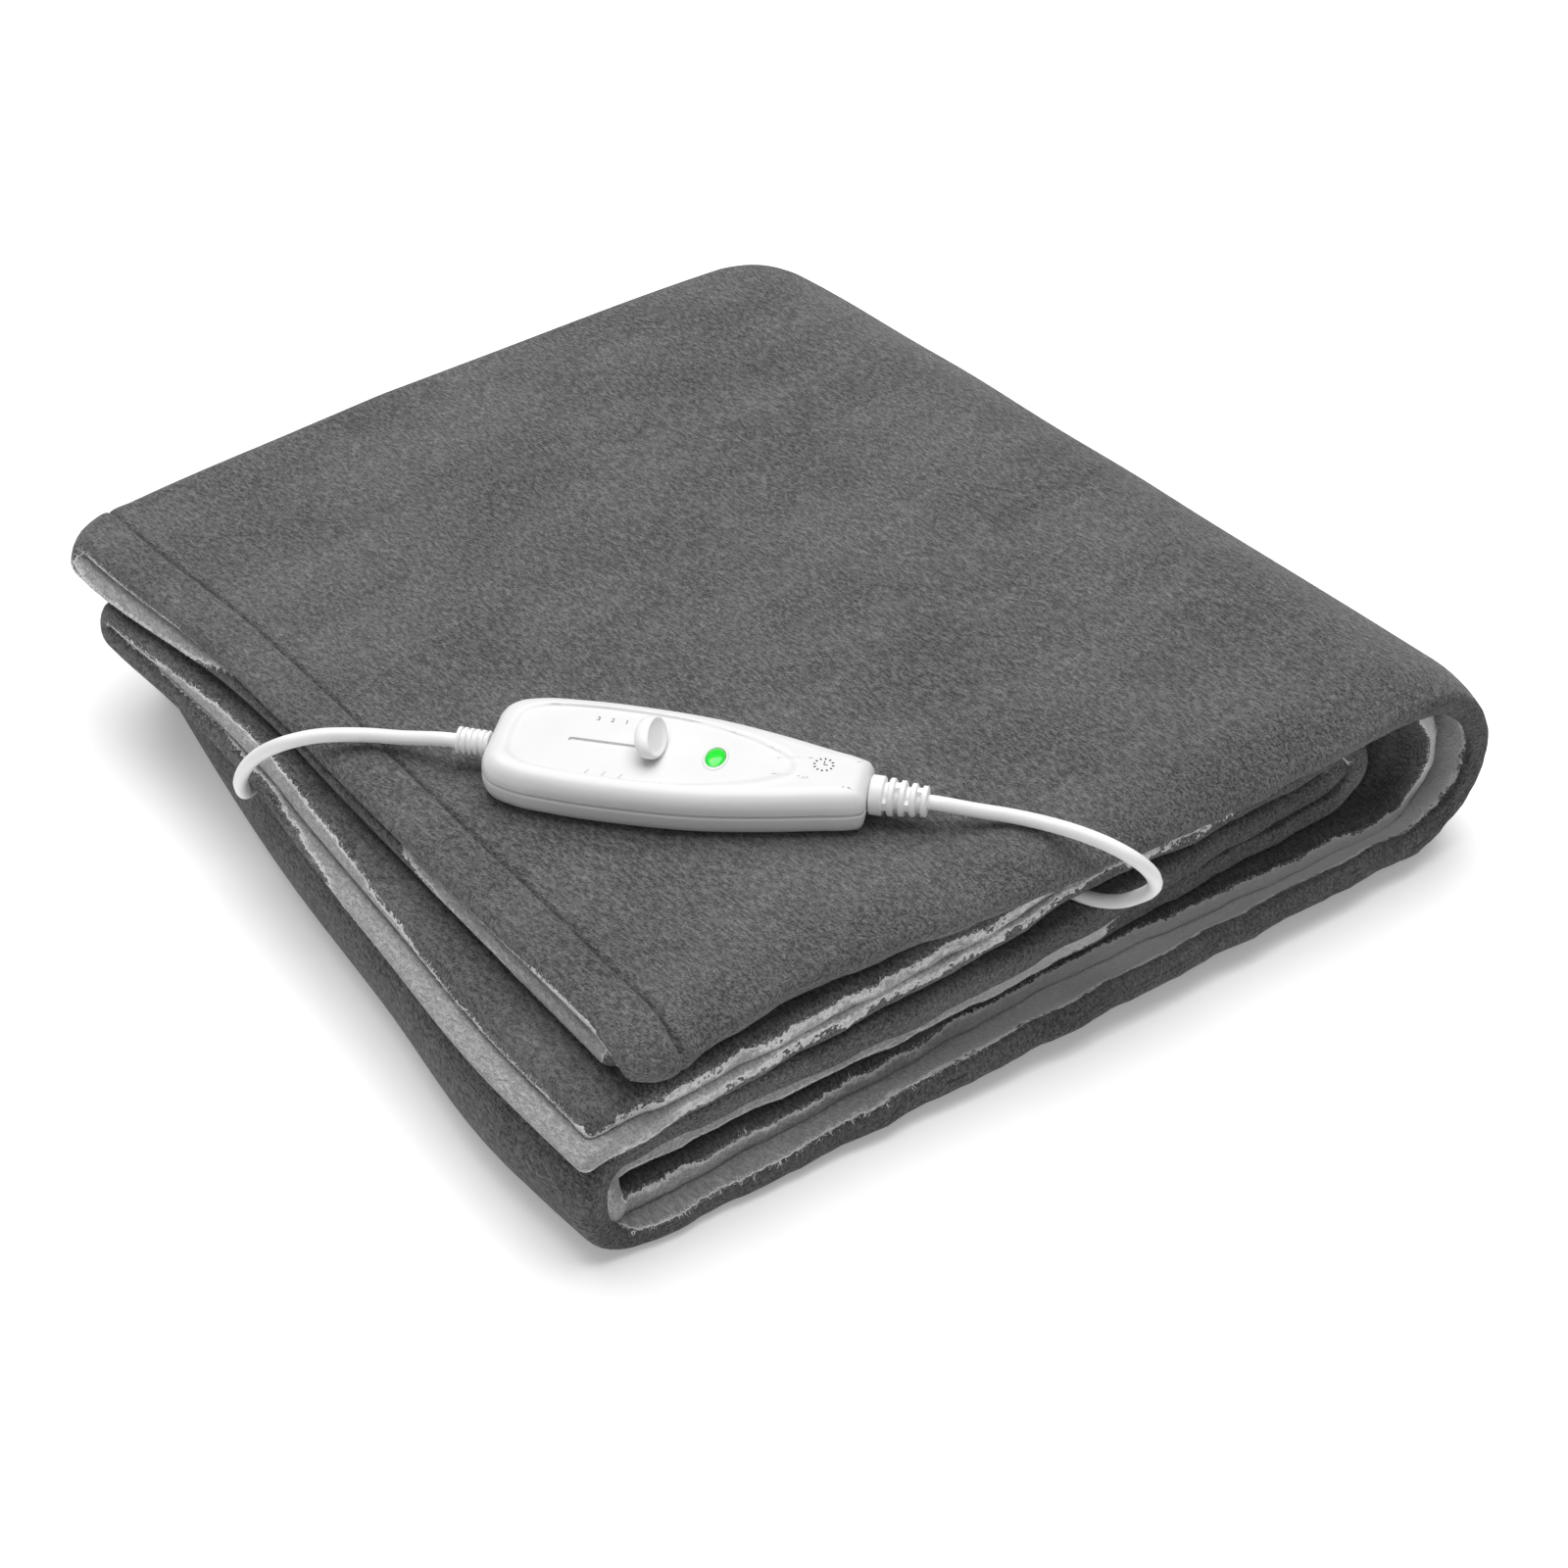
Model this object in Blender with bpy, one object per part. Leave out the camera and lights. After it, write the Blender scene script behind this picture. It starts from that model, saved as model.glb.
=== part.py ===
"""Electric heated blanket, folded into a flat pile, with its hand control lying on top.

The blanket is one doubled cloth: dark plush outside, pale fleece inside. It is folded in half
along its back, then wound into four double layers: the top layer goes over the right edge and
under the pile, turns up at the left edge, runs right again, turns up inside, and comes back left.
The front side shows the open edges of every layer, the left side the two free ends.

Sizes are in millimetres, measured from the pile's front left corner on the floor: x to the
right along the front, y to the back, z up. MM and CENTRE turn them into metres about the
middle of the pile.
"""
import math

import bmesh
import bpy
import numpy as np
from mathutils import Matrix, Vector

MM = 0.001
CENTRE = np.array((187.75, 181.74, 0.0))

# ---------------------------------------------------------------- the cloth
PLY = 8.7                # one thickness of the cloth: plush, wires and fleece
PAIR = 9.25              # half the thickness of a double layer
PITCH = 20.4             # from the middle of one double layer to the next
FOLD_SWELL = 15.0        # half thickness where the cloth goes loosely round the right edge
LEVEL_4 = PAIR
LEVEL_3 = LEVEL_4 + PITCH
LEVEL_2 = LEVEL_3 + PITCH
LEVEL_1 = LEVEL_2 + PITCH
TOP = LEVEL_1 + PAIR
CURL_REACH = 17.0        # how far behind a front rim its curl begins
SHARED_FROM = 46.0       # depth y from which both plies have their columns together
END_REACH = 42.0         # how far behind a free end its droop begins
TOP_RUN = 318.0          # how far the top layer runs from the hem to the right fold
UNDER_RUN = 315.0        # how far the second layer runs from the inner fold to its end
THIN_END = 0.12          # share of the thickness left at the very edge of a free end

# The pile's outer lines at some depths y: the outermost x of the left fold, the free end of the
# top layer (the hem), the free end of the layer under it, the outermost x of the right fold and
# of the fold inside it, how far the hem's upper ply droops over the lower one, and how far the
# upper ply of the second layer's end is set in.
EDGE_COLUMNS = ("y", "left", "hem", "under", "right", "inner", "droop", "step")
EDGE_ROWS = (
    (-15, -1.0, 17.5, -2.5, 382.0, 337.0, 0.0, 8.0),
    (60, -5.0, 18.0, -4.5, 378.0, 334.0, 0.5, 8.5),
    (130, 2.5, 18.5, 0.5, 373.5, 330.0, 2.5, 7.0),
    (210, 9.5, 19.5, 6.5, 368.5, 325.0, 4.0, 4.5),
    (290, 21.0, 18.0, 9.5, 363.0, 320.0, 0.5, 2.5),
    (345, 31.0, 15.0, 9.5, 358.5, 316.0, 0.0, 1.5),
    (390, 41.0, 15.0, 14.0, 350.0, 308.0, 0.0, 2.0),
)

# Number on the fold line: 0 hem, 1 to 2 right fold, 2 to 3 bottom layer, 3 to 4 left fold,
# 4 to 5 third layer, 5 to 6 inner fold, 6 to 7 second layer. Each row gives where the two plies
# end at the front, how far each front rim curls towards the other, and the y of the fold at the
# back. The outer ply lies on the outside of the whole winding.
RIM_COLUMNS = ("line", "outer_y", "other_y", "outer_curl", "other_curl", "back_y")
RIM_ROWS = (
    (0.00, 4.5, 16.0, 4.0, 0.0, 365.0),
    (0.03, 0.5, 15.0, 7.0, 0.0, 370.0),
    (0.07, 3.0, 15.0, 5.0, 0.0, 371.0),
    (0.14, 4.5, 15.0, 3.5, 0.0, 372.0),
    (0.30, 3.0, 14.0, 4.5, 0.0, 373.0),
    (0.45, -0.5, 12.5, 7.0, 0.0, 373.5),
    (0.60, -3.0, 12.0, 9.0, 0.0, 374.0),
    (0.90, -4.0, 11.0, 8.0, 0.0, 374.5),
    (1.15, -5.0, 8.0, 5.0, 1.0, 371.0),
    (1.50, -6.5, 4.5, 3.0, 2.5, 366.0),
    (1.85, -9.0, 5.0, 5.0, 1.0, 363.0),
    (2.15, -11.0, 7.0, 8.0, 0.0, 361.0),
    (2.45, -10.5, 11.0, 7.0, 0.0, 361.0),
    (2.70, -6.5, 8.0, 3.0, 0.0, 361.0),
    (2.90, -3.5, 6.5, 0.5, 0.0, 358.0),
    (3.50, 1.0, 5.0, 0.0, 0.0, 356.0),
    (4.10, 7.0, 10.0, 0.0, 0.0, 357.0),
    (4.40, 3.8, 7.0, 0.0, 0.4, 360.0),
    (4.65, 7.0, 8.0, 0.2, 0.4, 361.0),
    (4.90, 13.0, 11.0, 0.2, 0.4, 361.0),
    (5.50, 13.0, 10.0, 0.2, 0.4, 363.0),
    (6.10, 12.0, 12.0, 0.0, 0.0, 366.0),
    (6.40, 8.0, 8.5, 0.0, 0.0, 365.0),
    (6.70, 5.0, 5.5, 0.0, 0.0, 362.0),
    (6.90, 1.5, 4.0, 0.0, 0.0, 354.0),
    (7.00, -1.0, 5.0, 0.0, 0.0, 343.0),
)

# Soft waves of the top layer: middle, direction of the crest in degrees, reach along and across
# the crest, and height.
WAVE_COLUMNS = ("x", "y", "turn", "along", "across", "height")
WAVE_ROWS = (
    (150, 300, 18, 150, 24, 2.2),
    (275, 215, 30, 120, 26, 2.4),
    (300, 120, 40, 110, 22, 1.8),
    (90, 235, 25, 70, 20, 1.4),
    (235, 345, 8, 100, 18, 1.6),
)
SAG = 0.10               # how much lower the pile is at its left back corner
SAG_X, SAG_Y = 150.0, 170.0
SECOND_WAVE = 0.35       # how much of the waves the layer under the top one shares
LEAD_ROOM = 4.6          # how much the second layer is pushed up over a lead
ROOM_REACH = 30.0

# ---------------------------------------------------------------- the leads
LEAD = 5.0               # diameter of both leads
SHY = 0.3                # gap between pieces that touch
# Route of the mains lead from the control over the hem, into the pile and out behind it.
MAINS_ROUTE = (
    (51.0, 155.9, 88.7), (40.6, 171.9, 84.5), (30.8, 183.8, 82.7), (18.5, 192.2, 82.4),
    (10.2, 197.8, 79.9), (5.3, 204.5, 74.2), (2.0, 213.6, 62.9), (2.2, 219.8, 52.0),
    (5.2, 223.5, 44.5), (10.8, 228.4, 41.1), (19.2, 240.3, 41.2), (28.9, 263.1, 40.8),
    (37.4, 287.9, 40.4), (45.1, 312.9, 40.0), (52.1, 338.1, 39.7), (58.6, 357.9, 38.8),
    (64.4, 368.0, 35.8), (70.6, 374.0, 30.3), (77.7, 376.7, 21.7), (87.0, 376.0, 11.2),
    (96.9, 374.0, 5.3), (111.2, 371.5, 3.0), (136.0, 369.7, 2.7), (162.2, 369.5, 2.7),
    (188.3, 369.4, 2.7), (214.5, 370.1, 2.7), (240.7, 370.8, 2.9), (266.8, 371.0, 3.9),
)
# Route of the blanket's own lead over the front edge and back under the second layer.
BLANKET_ROUTE = (
    (159.2, 36.0, 89.0), (170.8, 27.9, 85.6), (179.8, 21.0, 83.5), (187.2, 12.2, 82.6),
    (194.4, -1.4, 82.5), (199.0, -11.5, 81.2), (202.6, -16.7, 78.2), (206.5, -18.8, 72.9),
    (209.6, -17.7, 66.7), (211.8, -13.8, 59.8), (212.3, -7.1, 52.1), (210.8, -0.6, 46.4),
    (208.0, 6.7, 43.2), (203.7, 18.2, 42.0), (197.5, 38.0, 42.0),
)
# The stretches of both routes that lie between the second and the third layer.
MAINS_UNDER, MAINS_OUT = 9, 17
BLANKET_UNDER = 12
# The last of the mains lead, from the plug's sleeve up to the coil's top turn.
TAIL_ROUTE = ((225.0, 412.8, 7.0), (230.0, 412.8, 7.1), (238.0, 412.8, 9.6), (245.4, 413.4, 13.0),
              (253.0, 415.9, 16.3))
COIL_CENTRE = (285.0, 401.5)
COIL_INNER = 18.0        # radius of the hole in the coil
COIL_TURNS_WIDE = 3
COIL_TURNS_HIGH = 4
COIL_OUTER = COIL_INNER + COIL_TURNS_WIDE * LEAD
COIL_HEIGHT = COIL_TURNS_HIGH * LEAD
TIE_WIDTH = 12.0
TIE_THICK = 1.2

# ---------------------------------------------------------------- the hand control
CONTROL_AT = (102.5, 99.0)
CONTROL_TURN = math.radians(-48.0)
CONTROL_SEAT = TOP + SHY
LOWER_HEIGHT = 8.3
CONTROL_HEIGHT = 16.6
# Half the control's width along its length.
OUTLINE_COLUMNS = ("u", "half")
OUTLINE_ROWS = (
    (-63.9, 11.0), (-62.8, 15.0), (-59.5, 19.0), (-52.0, 22.2), (-38.0, 24.0), (-14.0, 24.5),
    (10.0, 23.0), (32.0, 19.0), (50.0, 14.6), (60.0, 12.0), (63.0, 10.6), (63.9, 9.0),
)
# Height and inset of the rings that make each half's rounded edge.
LOWER_RINGS = ((0.0, 4.6), (0.6, 2.8), (2.0, 1.2), (4.2, 0.3), (LOWER_HEIGHT - 0.8, 0.0),
               (LOWER_HEIGHT, 0.6))
UPPER_RINGS = ((LOWER_HEIGHT + SHY, 0.6), (LOWER_HEIGHT + 1.1, 0.0), (12.2, 0.3), (14.4, 1.4),
               (15.9, 3.2), (CONTROL_HEIGHT, 5.6))
DISH_DEPTH = 0.9
DISH_ROWS = ((-57.0, 6.0), (-55.0, 11.5), (-50.0, 15.6), (-38.0, 18.2), (-14.0, 18.6),
             (8.0, 16.2), (24.0, 11.4), (34.0, 6.4), (38.0, 2.5))
SLOT_FROM, SLOT_TO = -36.0, -5.0
SLOT_WIDTH = 2.6
KNOB_AT = -9.5
KNOB_TRAVEL = 22.0
KNOB_RADIUS = 8.0
KNOB_THICK = 6.0
KNOB_ASPECT = (1.2, 0.9)      # how the disc is stretched across the control and upright
KNOB_LEAN = math.radians(20)
LIGHT_AT = 12.5
LIGHT_SIZE = (3.1, 4.9)
LEFT_RELIEF = 11.0       # lengths of the ribbed sleeves
RIGHT_RELIEF = 19.0
SLEEVE_HEIGHT = 9.0

# ---------------------------------------------------------------- the plug
PLUG_AT = (161.3, 412.8, 7.0)
PLUG_LENGTH, PLUG_WIDTH, PLUG_THICK = 37.0, 34.0, 13.6
PIN_LENGTH, PIN_RADIUS, PIN_SPACING = 19.0, 2.0, 18.6
PLUG_SLEEVE = 26.0


def rows_at(rows, at):
    """Each column of a table at the given places, along smooth curves through its rows."""
    table = np.array(rows, float)
    key, values = table[:, 0], table[:, 1:]
    slope = np.gradient(values, key, axis=0)
    at = np.clip(np.asarray(at, float), key[0], key[-1])
    low = np.clip(np.searchsorted(key, at) - 1, 0, len(key) - 2)
    span = key[low + 1] - key[low]
    t = ((at - key[low]) / span)[..., None]
    span = span[..., None]
    start, end = values[low], values[low + 1]
    smooth = (start * (2 * t ** 3 - 3 * t ** 2 + 1) + slope[low] * span * (t ** 3 - 2 * t ** 2 + t)
              + end * (3 * t ** 2 - 2 * t ** 3) + slope[low + 1] * span * (t ** 3 - t ** 2))
    return np.moveaxis(smooth, -1, 0)


def distance_to_route(x, y, route):
    """Distance in plan from each point to a route."""
    best = np.full(np.shape(x), 1e9)
    for (ax, ay, _), (bx, by, _) in zip(route, route[1:]):
        length = math.hypot(bx - ax, by - ay)
        share = np.clip(((x - ax) * (bx - ax) + (y - ay) * (by - ay)) / length ** 2, 0, 1)
        best = np.minimum(best, np.hypot(x - ax - share * (bx - ax), y - ay - share * (by - ay)))
    return best


def room_for_leads(x, y, z):
    """How far the cloth over a lead is pushed up: most just above it, nothing at the top."""
    mains = distance_to_route(x, y, MAINS_ROUTE[MAINS_UNDER:MAINS_OUT])
    own = distance_to_route(x, y, BLANKET_ROUTE[BLANKET_UNDER:])
    between = (LEVEL_3 + LEVEL_2) / 2
    share = np.where(z > between, np.clip((TOP - z) / (TOP - between), 0, 1), 0)
    return LEAD_ROOM * share * np.exp(-(np.minimum(mains, own) / ROOM_REACH) ** 4)


def half_thickness(line):
    """Half the doubled cloth's thickness: it swells only where it goes round the right edge."""
    round_edge = np.sin(np.pi * np.clip(line - 1, 0, 1)) ** 2
    return PAIR + (FOLD_SWELL - PAIR) * round_edge


def waves(x, y):
    """Height of the soft waves of the top layer."""
    height = np.zeros(np.shape(x))
    for wx, wy, turn, along, across, high in WAVE_ROWS:
        c, s = math.cos(math.radians(turn)), math.sin(math.radians(turn))
        u, v = (x - wx) * c + (y - wy) * s, -(x - wx) * s + (y - wy) * c
        height += high * np.exp(-(u / along) ** 2 - (v / across) ** 2)
    return height


def squeeze(x, y):
    """Share of its height that the pile keeps: less at the left back corner."""
    side = np.clip((SAG_X - x) / SAG_X, 0, 1.2)
    back = np.clip((y - SAG_Y) / (390.0 - SAG_Y), 0, 1)
    return 1 - SAG * side * (3 * back ** 2 - 2 * back ** 3)


def fold_line(line, y):
    """Middle of the double cloth: x and z for a number on the fold line, at depth y."""
    left, hem, under, right, inner, _, _ = rows_at(EDGE_ROWS, y)
    turn = PITCH / 2
    left_x = left + turn + PAIR
    inner_x = inner - turn - PAIR
    outer_rise = (LEVEL_1 - LEVEL_4) / 2
    right_x = right - outer_rise - FOLD_SWELL
    share = line - np.floor(line)
    angle = np.pi * share
    ahead = (
        (hem + share * (right_x - hem), LEVEL_1 + 0 * share),
        (right_x + outer_rise * np.sin(angle), LEVEL_4 + outer_rise * (1 + np.cos(angle))),
        (right_x + share * (left_x - right_x), LEVEL_4 + 0 * share),
        (left_x - turn * np.sin(angle), LEVEL_4 + turn * (1 - np.cos(angle))),
        (left_x + share * (inner_x - left_x), LEVEL_3 + 0 * share),
        (inner_x + turn * np.sin(angle), LEVEL_3 + turn * (1 - np.cos(angle))),
        (inner_x + share * (under - inner_x), LEVEL_2 + 0 * share),
        (under - share * (inner_x - under), LEVEL_2 + 0 * share),
    )
    part = np.clip(np.floor(line).astype(int), 0, 7)
    before = line < 0
    x = np.choose(part, [a[0] for a in ahead])
    z = np.choose(part, [a[1] for a in ahead])
    x = np.where(before, hem + line * (right_x - hem), x)
    z = np.where(before, LEVEL_1, z)
    return x, z


def across_line(line, y):
    """Direction along the fold line and across it, towards the outer ply, in x and z."""
    step = 0.004
    x0, z0 = fold_line(line - step, y)
    x1, z1 = fold_line(line + step, y)
    along_x, along_z = x1 - x0, z1 - z0
    length = np.hypot(along_x, along_z)
    along_x, along_z = along_x / length, along_z / length
    return along_x, along_z, -along_z, along_x


def ply_section(front_y, middle, curl, depth, side):
    """A ply's middle surface behind its front rim: y, height across, and its slope there."""
    bend = np.clip(1 - depth / CURL_REACH, 0, 1)
    y = front_y + PLY / 2 + depth
    height = side * (middle - curl * bend ** 2)
    slope = side * 2 * curl / CURL_REACH * bend
    return y, height, slope


def cloth_grid(lines, rim_depths, shares, back_angles):
    """Points of the doubled cloth: rows along the fold line, columns round its U-shaped section.

    A column runs from the outer ply's front rim to the back, round the fold there, and forward
    to the other ply's front rim. Both plies have their columns at the same depths y behind
    SHARED_FROM, so that they stay apart wherever the pile is bent.
    """
    outer_y, other_y, outer_curl, other_curl, back_y = (
        column[:, None] for column in rows_at(RIM_ROWS, lines))
    half = half_thickness(lines)[:, None]
    middle = half - PLY / 2
    back_centre = back_y - half
    shared = SHARED_FROM + shares * (back_centre - SHARED_FROM)

    def run(front_y, curl, side):
        depth = np.hstack((rim_depths + 0 * front_y, shared - front_y - PLY / 2))
        return ply_section(front_y, middle, np.maximum(curl, 0), depth, side)

    top = run(outer_y, outer_curl, 1)
    low = run(other_y, other_curl, -1)
    back = np.radians(back_angles)[None, :]
    y = np.hstack((top[0], back_centre + middle * np.cos(back), low[0][:, ::-1]))
    height = np.hstack((top[1], middle * np.sin(back), low[1][:, ::-1]))
    # The direction across the ply, towards its dark face, as y and height.
    top_long, low_long = np.hypot(1, top[2]), np.hypot(1, low[2])
    out_y = np.hstack((-top[2] / top_long, np.cos(back) + 0 * middle, (low[2] / low_long)[:, ::-1]))
    out_h = np.hstack((1 / top_long, np.sin(back) + 0 * middle, -(1 / low_long)[:, ::-1]))
    return y, height, out_y, out_h


def place(line, y, height, middle):
    """Turn a place on the section into x, y and z, with the droop and the step of free ends."""
    left, hem, under, right, inner, droop, step = rows_at(EDGE_ROWS, y)
    x, z = fold_line(line, y)
    along_x, along_z, up_x, up_z = across_line(line, y)
    hem_gap = np.clip(line, 0, 1) * TOP_RUN
    end_gap = np.clip(7 - line, 0, 1) * UNDER_RUN
    outer_share = np.clip(height / middle, -1, 1) / 2 + 0.5
    fall = np.where(line < 1, droop * np.clip(1 - hem_gap / END_REACH, 0, 1) ** 2, 0)
    height = height - fall * outer_share
    slide = np.where(line > 6, -step * (1 - outer_share) * np.clip(1 - end_gap / END_REACH, 0, 1), 0)
    x = x + height * up_x + slide * along_x
    z = z + height * up_z + slide * along_z
    leaving = np.clip((1.6 - line) / 0.6, 0, 1)
    coming = np.clip((line - 5.2) / 0.8, 0, 1)
    ease = 3 * (leaving + coming) ** 2 - 2 * (leaving + coming) ** 3
    wave_share = ease * np.where(line > 3, SECOND_WAVE, 1)
    z = (z + room_for_leads(x, y, z)) * squeeze(x, y) + waves(x, y) * wave_share
    return np.stack((x, y, z), axis=-1)


def end_taper(line):
    """Share of the ply's thickness: a round edge where the cloth ends."""
    gap = np.minimum(np.clip(line, 0, 1) * TOP_RUN, np.clip(7 - line, 0, 1) * UNDER_RUN)
    inside = np.clip(gap / (PLY / 2), 0, 1)
    return np.maximum(np.sqrt(1 - (1 - inside) ** 2), THIN_END)


def build_blanket(collection, material):
    """The doubled cloth as one closed solid, lofted along the fold line."""
    top_x = np.array((0.0, 1.3, 4.4, 14, 28, 42, 58, 80, 110, 140, 162, 178, 193, 210, 235, 265, 295))
    under_x = np.array((0.0, 1.3, 4.4, 12, 22, 34, 46, 58, 75, 105, 140, 165, 180, 194, 208, 225, 250,
                        280, 303))
    lines = np.concatenate((
        top_x / TOP_RUN, np.linspace(0.98, 1.98, 10), np.linspace(2.07, 2.94, 8),
        np.linspace(3.02, 3.98, 8), np.linspace(4.07, 4.95, 8), np.linspace(5.02, 5.98, 8),
        7 - under_x[::-1] / UNDER_RUN))
    rim_depths = np.array((0, 3.0, 7.0, 12.0, CURL_REACH))
    shares = np.array((0, 0.09, 0.2, 0.33, 0.46, 0.59, 0.72, 0.86, 1.0))
    rim = np.radians((60, 20, -20, -60))
    back_angles = np.array((54, 18, -18, -54))
    y, height, out_y, out_h = cloth_grid(lines, rim_depths, shares, back_angles)
    middle = half_thickness(lines)[:, None] - PLY / 2
    thick = (PLY / 2 * end_taper(lines))[:, None]
    line = lines[:, None] + 0 * y

    dark = place(line, y + out_y * thick, height + out_h * thick, middle)
    pale = place(line, y - out_y * thick, height - out_h * thick, middle)

    def rim_points(column, turn):
        """Half circle round a ply's front edge, from one face to the other."""
        cos, sin = np.cos(rim)[None, :], np.sin(rim)[None, :]
        oy, oh = out_y[:, [column]], out_h[:, [column]]
        forward_y, forward_h = -oh * turn, oy * turn
        py = y[:, [column]] + thick * (forward_y * cos + oy * sin)
        ph = height[:, [column]] + thick * (forward_h * cos + oh * sin)
        return place(lines[:, None] + 0 * py, py, ph, middle)

    outer_rim = rim_points(0, 1)
    other_rim = rim_points(-1, -1)
    ring = np.concatenate((dark, other_rim, pale[:, ::-1], outer_rim[:, ::-1]), axis=1)
    rows, columns = ring.shape[:2]
    points = (ring.reshape(-1, 3) - CENTRE) * MM
    index = np.arange(rows * columns).reshape(rows, columns)
    near, far = index[:-1], index[1:]
    sides = np.stack((near, np.roll(near, -1, 1), np.roll(far, -1, 1), far), axis=-1).reshape(-1, 4)
    across = dark.shape[1]
    rim_count = len(rim)
    faces = [tuple(int(i) for i in face) for face in sides]
    pale_start = across + rim_count
    for row in (0, rows - 1):
        base = row * columns
        for k in range(across - 1):
            a, b = base + k, base + k + 1
            c = base + pale_start + (across - 1 - k - 1)
            faces.append((a, b, c, c + 1))
        faces.append(tuple(base + across - 1 + k for k in range(rim_count + 2)))
        start = base + pale_start + across - 1
        loop = [start + k for k in range(rim_count + 1)] + [base]
        faces.append(tuple(loop))
    mesh = bpy.data.meshes.new("blanket_cloth")
    mesh.from_pydata([tuple(p) for p in points], [], faces)
    work = bmesh.new()
    work.from_mesh(mesh)
    bmesh.ops.recalc_face_normals(work, faces=work.faces)
    work.to_mesh(mesh)
    work.free()
    mesh.shade_smooth()
    return add_object("blanket_cloth", mesh, collection, material)


def make_material(name, colour, roughness, metallic=0.0):
    """A plain Principled material."""
    material = bpy.data.materials.new(name)
    material.use_nodes = True
    shader = material.node_tree.nodes["Principled BSDF"]
    shader.inputs["Base Color"].default_value = (*colour, 1.0)
    shader.inputs["Roughness"].default_value = roughness
    shader.inputs["Metallic"].default_value = metallic
    return material


def add_object(name, data, collection, material, parent=None):
    """Put a mesh or a curve into the scene as one named piece."""
    data.materials.clear()
    data.materials.append(material)
    piece = bpy.data.objects.new(name, data)
    collection.objects.link(piece)
    piece.parent = parent
    return piece


def to_world(point):
    """A place in the pile's millimetres as metres about its middle."""
    return Vector((np.array(point, float) - CENTRE) * MM)


def smooth_route(route, spacing):
    """Points at an even spacing on a smooth curve through a route's own points."""
    points = np.array(route, float)
    steps = np.linalg.norm(np.diff(points, axis=0), axis=1)
    reach = np.concatenate(((0,), np.cumsum(steps)))
    fine = rows_at(np.column_stack((reach, points)), np.linspace(0, reach[-1], 40 * len(points))).T
    walked = np.concatenate(((0,), np.cumsum(np.linalg.norm(np.diff(fine, axis=0), axis=1))))
    count = max(2, int(round(walked[-1] / spacing)))
    even = np.linspace(0, walked[-1], count + 1)
    return np.stack([np.interp(even, walked, fine[:, k]) for k in range(3)], axis=1)


def build_lead(name, route, collection, material, spacing=2.2 * LEAD):
    """A round lead as a bevelled curve with filled caps."""
    points = smooth_route(route, spacing)
    curve = bpy.data.curves.new(name, "CURVE")
    curve.dimensions = "3D"
    curve.bevel_depth = LEAD / 2 * MM
    curve.bevel_resolution = 3
    curve.use_fill_caps = True
    spline = curve.splines.new("POLY")
    spline.points.add(len(points) - 1)
    for spot, point in zip(spline.points, points):
        spot.co = (*to_world(point), 1.0)
    return add_object(name, curve, collection, material)


def outline(rows, inset, count):
    """A closed outline from a table of half widths, moved in by the inset."""
    table = np.array(rows, float)
    walk = np.concatenate(((0,), np.cumsum(np.hypot(*np.diff(table, axis=0).T))))
    along = rows_at(np.column_stack((walk, table)), np.linspace(0, walk[-1], count)).T
    loop = np.concatenate((along, along[::-1] * (1, -1)))
    edge = np.roll(loop, -1, 0) - np.roll(loop, 1, 0)
    edge /= np.linalg.norm(edge, axis=1)[:, None]
    return loop + np.stack((edge[:, 1], -edge[:, 0]), axis=1) * inset


def ring_solid(name, rings, rows, count=20):
    """A closed solid with rounded edges: outlines at rising heights, joined and capped."""
    work = bmesh.new()
    loops = []
    for height, inset in rings:
        loops.append([work.verts.new((u * MM, v * MM, height * MM))
                      for u, v in outline(rows, inset, count)])
    for low, high in zip(loops, loops[1:]):
        for k in range(len(low)):
            after = (k + 1) % len(low)
            work.faces.new((low[k], low[after], high[after], high[k]))
    work.faces.new(loops[0][::-1])
    work.faces.new(loops[-1])
    bmesh.ops.recalc_face_normals(work, faces=work.faces)
    mesh = bpy.data.meshes.new(name)
    work.to_mesh(mesh)
    work.free()
    mesh.shade_smooth()
    mesh.set_sharp_from_angle(angle=math.radians(40))
    return mesh


def box_mesh(name, low, high):
    """A box between two corners."""
    work = bmesh.new()
    bmesh.ops.create_cube(work, size=1.0)
    low, high = np.array(low, float) * MM, np.array(high, float) * MM
    for vert in work.verts:
        vert.co = Vector((low + high) / 2 + np.array(vert.co) * (high - low))
    mesh = bpy.data.meshes.new(name)
    work.to_mesh(mesh)
    work.free()
    return mesh


def cut(piece, cutter):
    """Cut one piece with another, exactly."""
    modifier = piece.modifiers.new("cut_" + cutter.name, "BOOLEAN")
    modifier.operation = "DIFFERENCE"
    modifier.solver = "EXACT"
    modifier.object = cutter


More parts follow.
